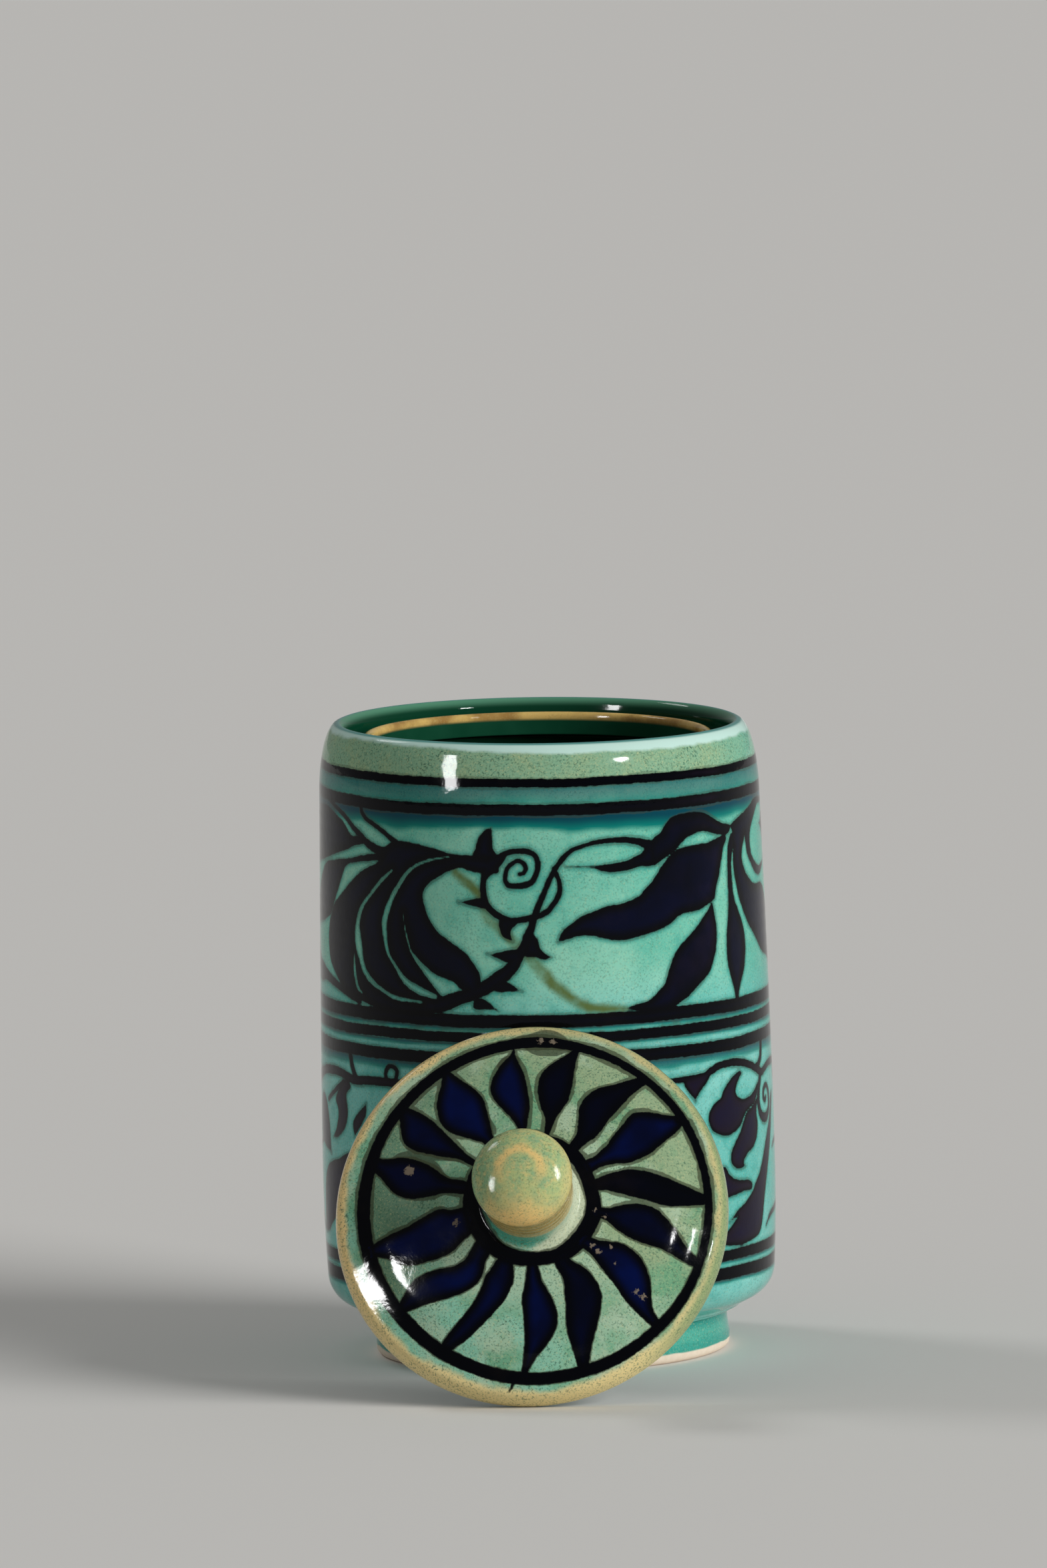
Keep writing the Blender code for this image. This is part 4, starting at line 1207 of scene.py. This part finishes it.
def arc(center, size, start, end, steps=16):
    """Points on an ellipse arc with half sizes (radial, vertical), from start to end in degrees."""
    angle = np.radians(np.linspace(start, end, steps))
    return np.stack([center[0] + size[0] * np.cos(angle), center[1] + size[1] * np.sin(angle)], axis=1)


def jar_center():
    """Jar axis in the part frame, from the CAD body's box."""
    low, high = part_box("jar_body")
    return (low + high) / 2


def wall_radius(heights, shape, low, high):
    """Outer wall radius: a parabola below the belly, a power curve above, then an elliptical shoulder."""
    belly = (high.x - low.x) / 2
    shoulder = high.z - shape.shoulder_drop
    drop = (shape.belly_height - heights) / (shape.belly_height - HEEL_TOP)
    below = belly - (belly - shape.heel_radius) * drop**2
    rise = np.clip((heights - shape.belly_height) / (shoulder - shape.belly_height), 0.0, 1.0)
    above = belly - (belly - shape.shoulder_radius) * rise**1.4
    bend = np.clip((heights - shoulder) / shape.shoulder_drop, 0.0, 1.0)
    curve = shape.rim_radius + (shape.shoulder_radius - shape.rim_radius) * np.sqrt(1.0 - bend**2)
    return np.where(heights < shape.belly_height, below, np.where(heights < shoulder, above, curve))


def jar_places(angle, radii, heights, shape, center):
    """Turned places of the jar, x = r sin a and y = -r cos a, with a sideways tilt of the height.

    The radius is a little oval and three-sided, and carries the spiral lines of throwing.
    """
    oval = OVAL_SHARE * np.sin(2 * angle + 0.7)
    out = radii * (1.0 + oval + THREE_SIDED_SHARE * np.sin(3 * angle + heights * 40.0))
    turn = heights / THROWING_PITCH + angle / (2 * np.pi)
    out = out + THROWING_DEPTH * np.sin(2 * np.pi * turn) * (1.0 + np.sin(5 * angle + heights * 300.0))
    x = out * np.sin(angle)
    y = -out * np.cos(angle)
    z = heights + shape.tilt * x * np.clip(heights, 0.0, None) / TILT_HEIGHT
    return np.stack([center.x + x, center.y + y, z], axis=-1)


def jar_piece(name, profile, material, painted=False, cap=False, flip=False):
    """A turned piece of the jar, with its height and its painting stored on the points."""
    shape = bpy.context.scene.pottery_jar
    angle, radii, heights = turned_grid(profile, shape.columns)
    places = jar_places(angle, radii, heights, shape, jar_center())
    fields = {"height": heights / MM, "radius": radii / MM}
    if painted:
        degrees = (np.degrees(angle) + 180.0) % 360.0 - 180.0
        ink, olive = wall_painting(degrees, heights / MM)
        cover, near = bleeding(ink, heights / MM, degrees)
        side = np.cos(np.radians(degrees - DEEP_SHADED_SIDE))
        fields.update(ink=ink, olive=olive, bleed=cover, run=near, side=side)
    piece = grid_mesh(name, places, material, fields, cap, flip)
    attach(piece, "jar")
    return piece


def wall_band(shape, low, high, top, bottom, step):
    """Profile of the outer wall between two heights, from the top down."""
    heights = np.linspace(top, bottom, max(3, int(round((top - bottom) / step)) + 1))
    return np.stack([wall_radius(heights, shape, low, high), heights], axis=1)


class POTTERY_OT_wall(bpy.types.Operator):
    """Build the painted outer wall as bands from the rim to the underside"""

    bl_idname = "pottery.wall"
    bl_label = "Build Wall"

    def execute(self, context):
        shape = context.scene.pottery_jar
        low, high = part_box("jar_body")
        material = glaze("turquoise_glaze_look", wall_colour)
        across, drop = RIM_BEVEL
        rim = arc((shape.rim_radius, high.z - drop), (-across, drop), 0.0, 90.0, 14)
        rounding = (shape.heel_rounding, shape.heel_rounding)
        heel = arc((HEEL_CENTER, HEEL_TOP), rounding, 0.0, HEEL_TURN, 30)
        under = np.array([(radius, low.z) for radius in (UNDER_EDGE, UNDER_MIDDLE, AXIS_GAP)])
        below = spaced(np.concatenate([heel, under]), HEEL_STEP)[1:]
        for ridge in UNDER_RIDGES:
            below[:, 1] -= RIDGE_HEIGHT * np.exp(-(((below[:, 0] - ridge) / RIDGE_WIDTH) ** 2))
        sparse = np.arange(len(below)) % UNDER_SPARSE == 0
        below = below[(below[:, 0] > UNDER_FINE) | sparse]
        for name, top, bottom, step in WALL_BANDS:
            profile = wall_band(shape, low, high, top or high.z, bottom, step)
            if name == "wall_rim":
                profile = np.concatenate([rim, profile[1:]])
            if name == "wall_heel":
                profile = np.concatenate([profile, below])
            piece = jar_piece(name, profile, material, painted=True, cap=name == "wall_heel")
            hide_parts("jar_body")
        return {"FINISHED"}


class POTTERY_OT_inside(bpy.types.Operator):
    """Build the glazed inside of the jar, from the floor up to the rebate under the rim"""

    bl_idname = "pottery.inside"
    bl_label = "Build Inside"

    def execute(self, context):
        shape = context.scene.pottery_jar
        low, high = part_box("jar_body")
        heights = np.linspace(INSIDE_LOW, INSIDE_HIGH, 60)
        wall = np.stack([wall_radius(heights, shape, low, high) - shape.wall, heights], axis=1)
        rounding = (FLOOR_ROUNDING, FLOOR_ROUNDING)
        floor_round = arc((wall[0, 0] - FLOOR_ROUNDING, INSIDE_LOW), rounding, 0.0, -90.0, 12)[::-1]
        profile = np.concatenate([[(AXIS_GAP, INSIDE_FLOOR)], floor_round, wall[1:], MOUTH_REBATE])
        material = glaze("inside_glaze_look", inside_colour)
        piece = jar_piece("wall_inside", spaced(profile, INSIDE_STEP)[::-1], material, cap=True, flip=True)
        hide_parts("jar_body")
        return {"FINISHED"}


class POTTERY_OT_foot(bpy.types.Operator):
    """Build the foot ring, glazed above and bare clay below"""

    bl_idname = "pottery.foot"
    bl_label = "Build Foot"

    def execute(self, context):
        low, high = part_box("foot_ring")
        outer = (high.x - low.x) / 2
        inner = outer - FOOT_WIDTH
        broad, small = FOOT_OUTER_ROUNDING, FOOT_INNER_ROUNDING
        profile = np.concatenate(
            [
                [(outer - inset, height) for inset, height in FOOT_INSETS],
                arc((outer - broad, low.z + broad), (broad, broad), 0.0, -90.0, 10),
                arc((inner + small, low.z + small), (small, small), -90.0, -180.0, 8),
                [(inner, FOOT_TOP)],
            ]
        )
        material = glaze("foot_look", foot_colour, 0.0, foot_roughness)
        piece = jar_piece("foot_ring_look", spaced(profile, FOOT_STEP), material)
        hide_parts("foot_ring")
        return {"FINISHED"}


class POTTERY_OT_gallery(bpy.types.Operator):
    """Build the ring inside the mouth that carries the lid: a trough and a raised lip"""

    bl_idname = "pottery.gallery"
    bl_label = "Build Gallery"

    def execute(self, context):
        low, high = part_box("gallery_ring")
        outer = (high.x - low.x) / 2
        lip = (LIP_OUTER - LIP_INNER) / 2
        crest = (LIP_INNER + lip, high.z - lip)
        tight, wide = TROUGH_OUTER_ROUNDING, TROUGH_INNER_ROUNDING
        profile = np.concatenate(
            [
                [(outer, low.z), (outer, TROUGH_OUTER_HEIGHT)],
                arc((outer - tight, TROUGH_OUTER_HEIGHT), (tight, tight), 0.0, -90.0, 6),
                arc((LIP_OUTER + wide, TROUGH_INNER_HEIGHT), (-wide, wide), -90.0, 0.0, 8),
                arc(crest, (lip, lip), 0.0, 180.0, 16),
                [(LIP_INNER, low.z), (outer, low.z)],
            ]
        )
        material = glaze("gallery_look", gallery_colour)
        piece = jar_piece("gallery_ring_look", spaced(profile, GALLERY_STEP)[::-1], material)
        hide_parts("gallery_ring")
        return {"FINISHED"}


def lid_frame():
    """Lid frame as (centre, right, up the face, out of the face), from the CAD plate's box and the lean."""
    lid = bpy.context.scene.pottery_lid
    low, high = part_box("lid_plate")
    ring = lid.radius - lid.edge_rounding
    swing = math.hypot(math.sin(lid.turn), math.sin(lid.lean) * math.cos(lid.turn))
    center = np.array(
        (
            (low.x + high.x) / 2,
            high.y - lid.edge_rounding - ring * swing,
            low.z + lid.edge_rounding + ring * math.cos(lid.lean),
        )
    )
    stance = Matrix.Rotation(-lid.turn, 3, "Z") @ Matrix.Rotation(math.pi / 2 - lid.lean, 3, "X")
    axes = np.array(stance)
    return center, axes[:, 0], axes[:, 1], axes[:, 2]


def lid_places(angle, radii, heights):
    """Turned places of the lid: r cos a to the right, r sin a up the face, and the height out of it."""
    center, right, up, out = lid_frame()
    x = (radii * np.cos(angle))[..., None]
    y = (radii * np.sin(angle))[..., None]
    return center + x * right + y * up + heights[..., None] * out


def polar(points):
    """Flat millimetre positions of (radius, degrees) points."""
    radius, degrees = np.array(points, float).T
    return np.stack([radius * np.cos(np.radians(degrees)), radius * np.sin(np.radians(degrees))], axis=1)


def nearest(x, y, outlines):
    """Signed distance to the nearest of several (radius, degrees) outlines, and which one that is."""
    distance = np.full(x.shape, FAR)
    which = np.zeros(x.shape, int)
    for number, outline in enumerate(outlines):
        curve = smooth_closed(outline, 4)
        low, high = curve.min(axis=0) - FAR, curve.max(axis=0) + FAR
        near = (x > low[0]) & (x < high[0]) & (y > low[1]) & (y < high[1])
        found = np.full(x.shape, FAR)
        found[near] = outline_distance(x[near], y[near], curve)
        which = np.where(found < distance, number, which)
        distance = np.minimum(distance, found)
    return distance, which


def edge_distance(x, y, edge):
    """Signed distance to a ring's edge of (radius, degrees) points; negative is inside it."""
    return outline_distance(x, y, smooth_closed(polar(edge), 8))


def rosette(x, y):
    """Painted distances of the lid, petals between two wavering rings, and the share of cobalt in them."""
    petals = [polar((*petal[:1], *petal, *petal[-1:])) for petal in PETALS]
    distance, which = nearest(x, y, petals)
    cobalt = np.where(distance < 0.0, np.array(PETAL_COBALT)[which], 0.0)
    ring = np.maximum(edge_distance(x, y, RING_OUTER_EDGE), -edge_distance(x, y, RING_INNER_EDGE))
    collar = np.maximum(edge_distance(x, y, COLLAR_OUTER_EDGE), -edge_distance(x, y, COLLAR_INNER_EDGE))
    tick = np.array(STROKE_TICK)
    tick[:, :2] = polar(tick[:, :2])
    distance = np.minimum(np.minimum(distance, ring), np.minimum(collar, stroke_distance(x, y, tick)))
    return np.minimum(distance, FAR), cobalt


def flecks(x, y):
    """Distance to the nearest fleck."""
    found = np.full(x.shape, FAR)
    for radius, degrees, size in FLECKS:
        across, along = polar(((radius, degrees),))[0]
        found = np.minimum(found, np.hypot(x - across, y - along) - size)
    return found


def lid_piece(name, profile, material, painted_by=None, cap=False, flip=False, off=(0.0, 0.0)):
    """A turned piece of the lid, off its axis if asked, with its place and painting stored on the points.

    painted_by(x, y, height) gives more fields, from places on the lid in millimetres. Slow crossing waves
    swell the surface a little outside the knob.
    """
    columns = bpy.context.scene.pottery_lid.columns
    angle, radii, heights = turned_grid(profile, columns)
    x = (radii * np.cos(angle) + off[0]) / MM
    y = (radii * np.sin(angle) + off[1]) / MM
    fields = {"height": heights / MM, "radius": radii / MM, "across": x, "upward": y}
    if painted_by:
        fields.update(painted_by(x, y, heights / MM))
    swell = LID_SWELL * np.sin(x * 0.62 + 1.3 * np.sin(y * 0.31)) * np.sin(y * 0.55 + 0.8)
    places = lid_places(angle, radii, heights + swell * (radii > LID_SWELL_FROM))
    right, up = lid_frame()[1:3]
    piece = grid_mesh(name, places + off[0] * right + off[1] * up, material, fields, cap, flip)
    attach(piece, "lid")
    return piece


def face_painting(x, y, height):
    """Fields of the lid's face: rosette, washes, flecks, turquoise low on the left, painted shade on the
    left.
    """
    ink, cobalt = rosette(x, y)
    thin = nearest(x, y, [polar(outline) for outline in THIN_WASHES])[0]
    wash = 0.45 - (0.74 * x + 0.67 * y) / 60.0
    # Painted shade, darkest on the left, for the knob's shadow on the lid.
    shade = (0.08 * y - x) / 38.0
    return dict(ink=ink, cobalt=cobalt, thin=thin, fleck=flecks(x, y), wash=wash, shade=shade)


def knob_painting(x, y, height):
    """The dark collar where it climbs on to the knob's flared foot."""
    collar = np.maximum(-edge_distance(x, y, COLLAR_INNER_EDGE), height - COLLAR_TOP)
    return dict(ink=np.minimum(collar, FAR))


class POTTERY_OT_lid(bpy.types.Operator):
    """Build the lid's painted face with its rounded edge, and its hollow underside"""

    bl_idname = "pottery.lid"
    bl_label = "Build Lid"

    def execute(self, context):
        lid = context.scene.pottery_lid
        crest = lid.edge_rise + lid.dome_rise
        turn_in = math.degrees(math.atan2(lid.edge_rise, LID_SLOPES[-1][1] * lid.edge_width))
        edge = arc((lid.radius - lid.edge_width, 0.0), (lid.edge_width, lid.edge_rise), 0.0, turn_in, 24)
        places = np.linspace(edge[-1, 0], lid.knob_base, 140)
        slopes = np.interp(places / MM, *np.array(LID_SLOPES).T)
        steps = (slopes[1:] + slopes[:-1]) / 2 * -np.diff(places)
        rise = np.concatenate([[0.0], np.cumsum(steps)])
        dome = np.stack([places, crest - rise[-1] + rise], axis=1)[1:]
        seat = [(lid.knob_base - SEAT_OVERLAP, crest)]
        face = spaced(np.concatenate([edge, dome, seat]), LID_FACE_STEP)
        material = glaze("lid_look", lid_colour, 0.2)
        painted = lid_piece("lid_face", face, material, face_painting, flip=True)
        rounding = lid.edge_rounding
        under = np.concatenate(
            [
                arc((lid.radius - rounding, 0.0), (rounding, rounding), 0.0, -90.0, 8),
                [(LID_FLAT_RADIUS, -rounding), *LID_HOLLOW],
            ]
        )
        plain = glaze("lid_under_look", inside_colour)
        below = lid_piece("lid_underside", spaced(under, LID_UNDER_STEP), plain, cap=True)
        for piece in (painted, below):
            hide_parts("lid_plate")
        return {"FINISHED"}


class POTTERY_OT_knob(bpy.types.Operator):
    """Build the lid's knob with its flared foot, turned stem and rounded crown"""

    bl_idname = "pottery.knob"
    bl_label = "Build Knob"

    def execute(self, context):
        lid = context.scene.pottery_lid
        seat = lid.edge_rise + lid.dome_rise
        across, up = KNOB_FLARE
        foot = arc((lid.knob_base, up), (-across, -up), 90.0, 0.0, 10)
        crown = arc((0.0, KNOB_CROWN_HEIGHT), KNOB_CROWN, -7.0, 88.0, 28)
        profile = spaced(np.concatenate([foot, KNOB_STEM, crown]), KNOB_STEP)
        rise = profile[:, 1]
        groove = GROOVE_DEPTH * np.sin(rise / GROOVE_PITCH * 2 * np.pi)
        groove = groove * (rise > GROOVES_FROM) * (rise < GROOVES_TO)
        profile = np.stack([profile[:, 0] + groove, rise + seat], axis=1)
        material = glaze("knob_look", knob_colour, 1.4)
        piece = lid_piece(
            "knob_look", profile, material, knob_painting, cap=True, flip=True, off=KNOB_OFF_AXIS
        )
        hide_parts("lid_knob")
        return {"FINISHED"}


def place_light(name, kind, azimuth, elevation, power):
    """A light object seen from the jar in this direction and aimed at it; azimuth 0 is the front."""
    turn, rise = math.radians(azimuth), math.radians(elevation)
    away = Vector((math.sin(turn) * math.cos(rise), -math.cos(turn) * math.cos(rise), math.sin(rise)))
    lamp = bpy.data.lights.new(name, kind)
    lamp.energy = power
    made = bpy.data.objects.new(name, lamp)
    made.location = Vector(LIGHT_TARGET) + LIGHT_DISTANCE * away
    made.rotation_euler = (-away).to_track_quat("-Z", "Y").to_euler()
    bpy.context.scene.collection.objects.link(made)
    return made


def place_highlight(name, shape, direction, roll, size, power, receivers):
    """An area light of this shape and (width, height) that gives reflections only, on the named pieces."""
    made = place_light(name, "AREA", *direction, power)
    made.rotation_euler.rotate_axis("Z", math.radians(roll))
    made.data.shape = shape
    made.data.size, made.data.size_y = size
    made.visible_diffuse = False
    group = bpy.data.collections.new(name + "_receivers")
    for receiver in receivers:
        group.objects.link(bpy.data.objects[receiver])
    made.light_linking.receiver_collection = group


class POTTERY_OT_stage(bpy.types.Operator):
    """Set up the pale floor, the soft studio light, the surroundings and the camera"""

    bl_idname = "pottery.stage"
    bl_label = "Build Stage"

    def execute(self, context):
        look = context.scene.pottery_stage
        self.add_floor()
        self.add_world(look)
        for name, shape, direction, roll, size, power, receivers in HIGHLIGHTS:
            place_highlight(name, shape, direction, roll, size, getattr(look, power), receivers)
        daylight = place_light("daylight", "SUN", *DAYLIGHT_FROM, look.daylight)
        daylight.data.angle = math.radians(DAYLIGHT_WIDTH)
        daylight.visible_glossy = False
        back = place_light("back_light", "SUN", *BACK_LIGHT_FROM, look.back_light)
        back.data.angle = math.radians(BACK_LIGHT_WIDTH)
        self.add_camera(context.scene, look)
        context.scene.view_settings.view_transform = "Standard"
        return {"FINISHED"}

    def add_floor(self):
        """A pale square floor under the jar."""
        corners = [(x * FLOOR_HALF, y * FLOOR_HALF, 0.0) for x, y in ((-1, -1), (1, -1), (1, 1), (-1, 1))]
        mesh = bpy.data.meshes.new("floor")
        mesh.from_pydata(corners, [], [(0, 1, 2, 3)])
        material = bpy.data.materials.new("floor_look")
        material.use_nodes = True
        shader = material.node_tree.nodes["Principled BSDF"]
        shader.inputs["Base Color"].default_value = FLOOR_COLOUR
        shader.inputs["Roughness"].default_value = 0.8
        mesh.materials.append(material)
        floor = bpy.data.objects.new("floor", mesh)
        bpy.context.scene.collection.objects.link(floor)

    def add_world(self, look):
        """Even, pale surroundings."""
        world = bpy.data.worlds.new("studio")
        world.use_nodes = True
        background = world.node_tree.nodes["Background"]
        background.inputs["Color"].default_value = WORLD_COLOUR
        background.inputs["Strength"].default_value = look.world_level
        bpy.context.scene.world = world

    def add_camera(self, scene, look):
        """The camera in front of the jar, turned by yaw, pitch and roll."""
        center = jar_center()
        forward = Vector(
            (
                math.sin(look.yaw) * math.cos(look.pitch),
                math.cos(look.yaw) * math.cos(look.pitch),
                -math.sin(look.pitch),
            )
        )
        right = Vector((math.cos(look.yaw), -math.sin(look.yaw), 0.0))
        up = right.cross(forward)
        across = math.cos(look.roll) * right + math.sin(look.roll) * up
        upward = -math.sin(look.roll) * right + math.cos(look.roll) * up
        lens = bpy.data.cameras.new("photo_camera")
        lens.sensor_width = 36.0
        lens.lens = look.focal_pixels * lens.sensor_width / PHOTO_HEIGHT
        lens.clip_end = 100.0
        camera = bpy.data.objects.new("photo_camera", lens)
        stance = Matrix((across, upward, -forward)).transposed().to_4x4()
        stance.translation = (center.x, center.y - look.camera_back, look.camera_height)
        camera.matrix_world = stance
        bpy.context.scene.collection.objects.link(camera)
        scene.camera = camera


class POTTERY_PT_panel(bpy.types.Panel):
    """Buttons that build the jar's pieces"""

    bl_label = "Painted Pottery Jar"
    bl_idname = "POTTERY_PT_panel"
    bl_space_type = "VIEW_3D"
    bl_region_type = "UI"
    bl_category = "Pottery"

    def draw(self, context):
        layout = self.layout
        for operator in OPERATORS:
            layout.operator(operator.bl_idname)
        for name, _kind in SETTINGS:
            group = getattr(context.scene, name)
            for field in group.bl_rna.properties.keys():
                if field not in ("name", "rna_type"):
                    layout.prop(group, field)


SETTINGS = (
    ("pottery_jar", JarShape),
    ("pottery_lid", LidShape),
    ("pottery_colours", GlazeColours),
    ("pottery_stage", StageLook),
)
OPERATORS = (
    POTTERY_OT_wall,
    POTTERY_OT_inside,
    POTTERY_OT_foot,
    POTTERY_OT_gallery,
    POTTERY_OT_lid,
    POTTERY_OT_knob,
    POTTERY_OT_stage,
)
CLASSES = (*(kind for _name, kind in SETTINGS), *OPERATORS, POTTERY_PT_panel)


def register():
    for made in CLASSES:
        bpy.utils.register_class(made)
    for name, kind in SETTINGS:
        setattr(bpy.types.Scene, name, bpy.props.PointerProperty(type=kind))


def unregister():
    for name, _kind in reversed(SETTINGS):
        delattr(bpy.types.Scene, name)
    for made in reversed(CLASSES):
        bpy.utils.unregister_class(made)


def main():
    """Builds everything."""
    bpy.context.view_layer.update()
    register()
    bpy.ops.pottery.wall()
    bpy.ops.pottery.inside()
    bpy.ops.pottery.foot()
    bpy.ops.pottery.gallery()
    bpy.ops.pottery.lid()
    bpy.ops.pottery.knob()
    bpy.ops.pottery.stage()


if __name__ == "__main__":
    main()
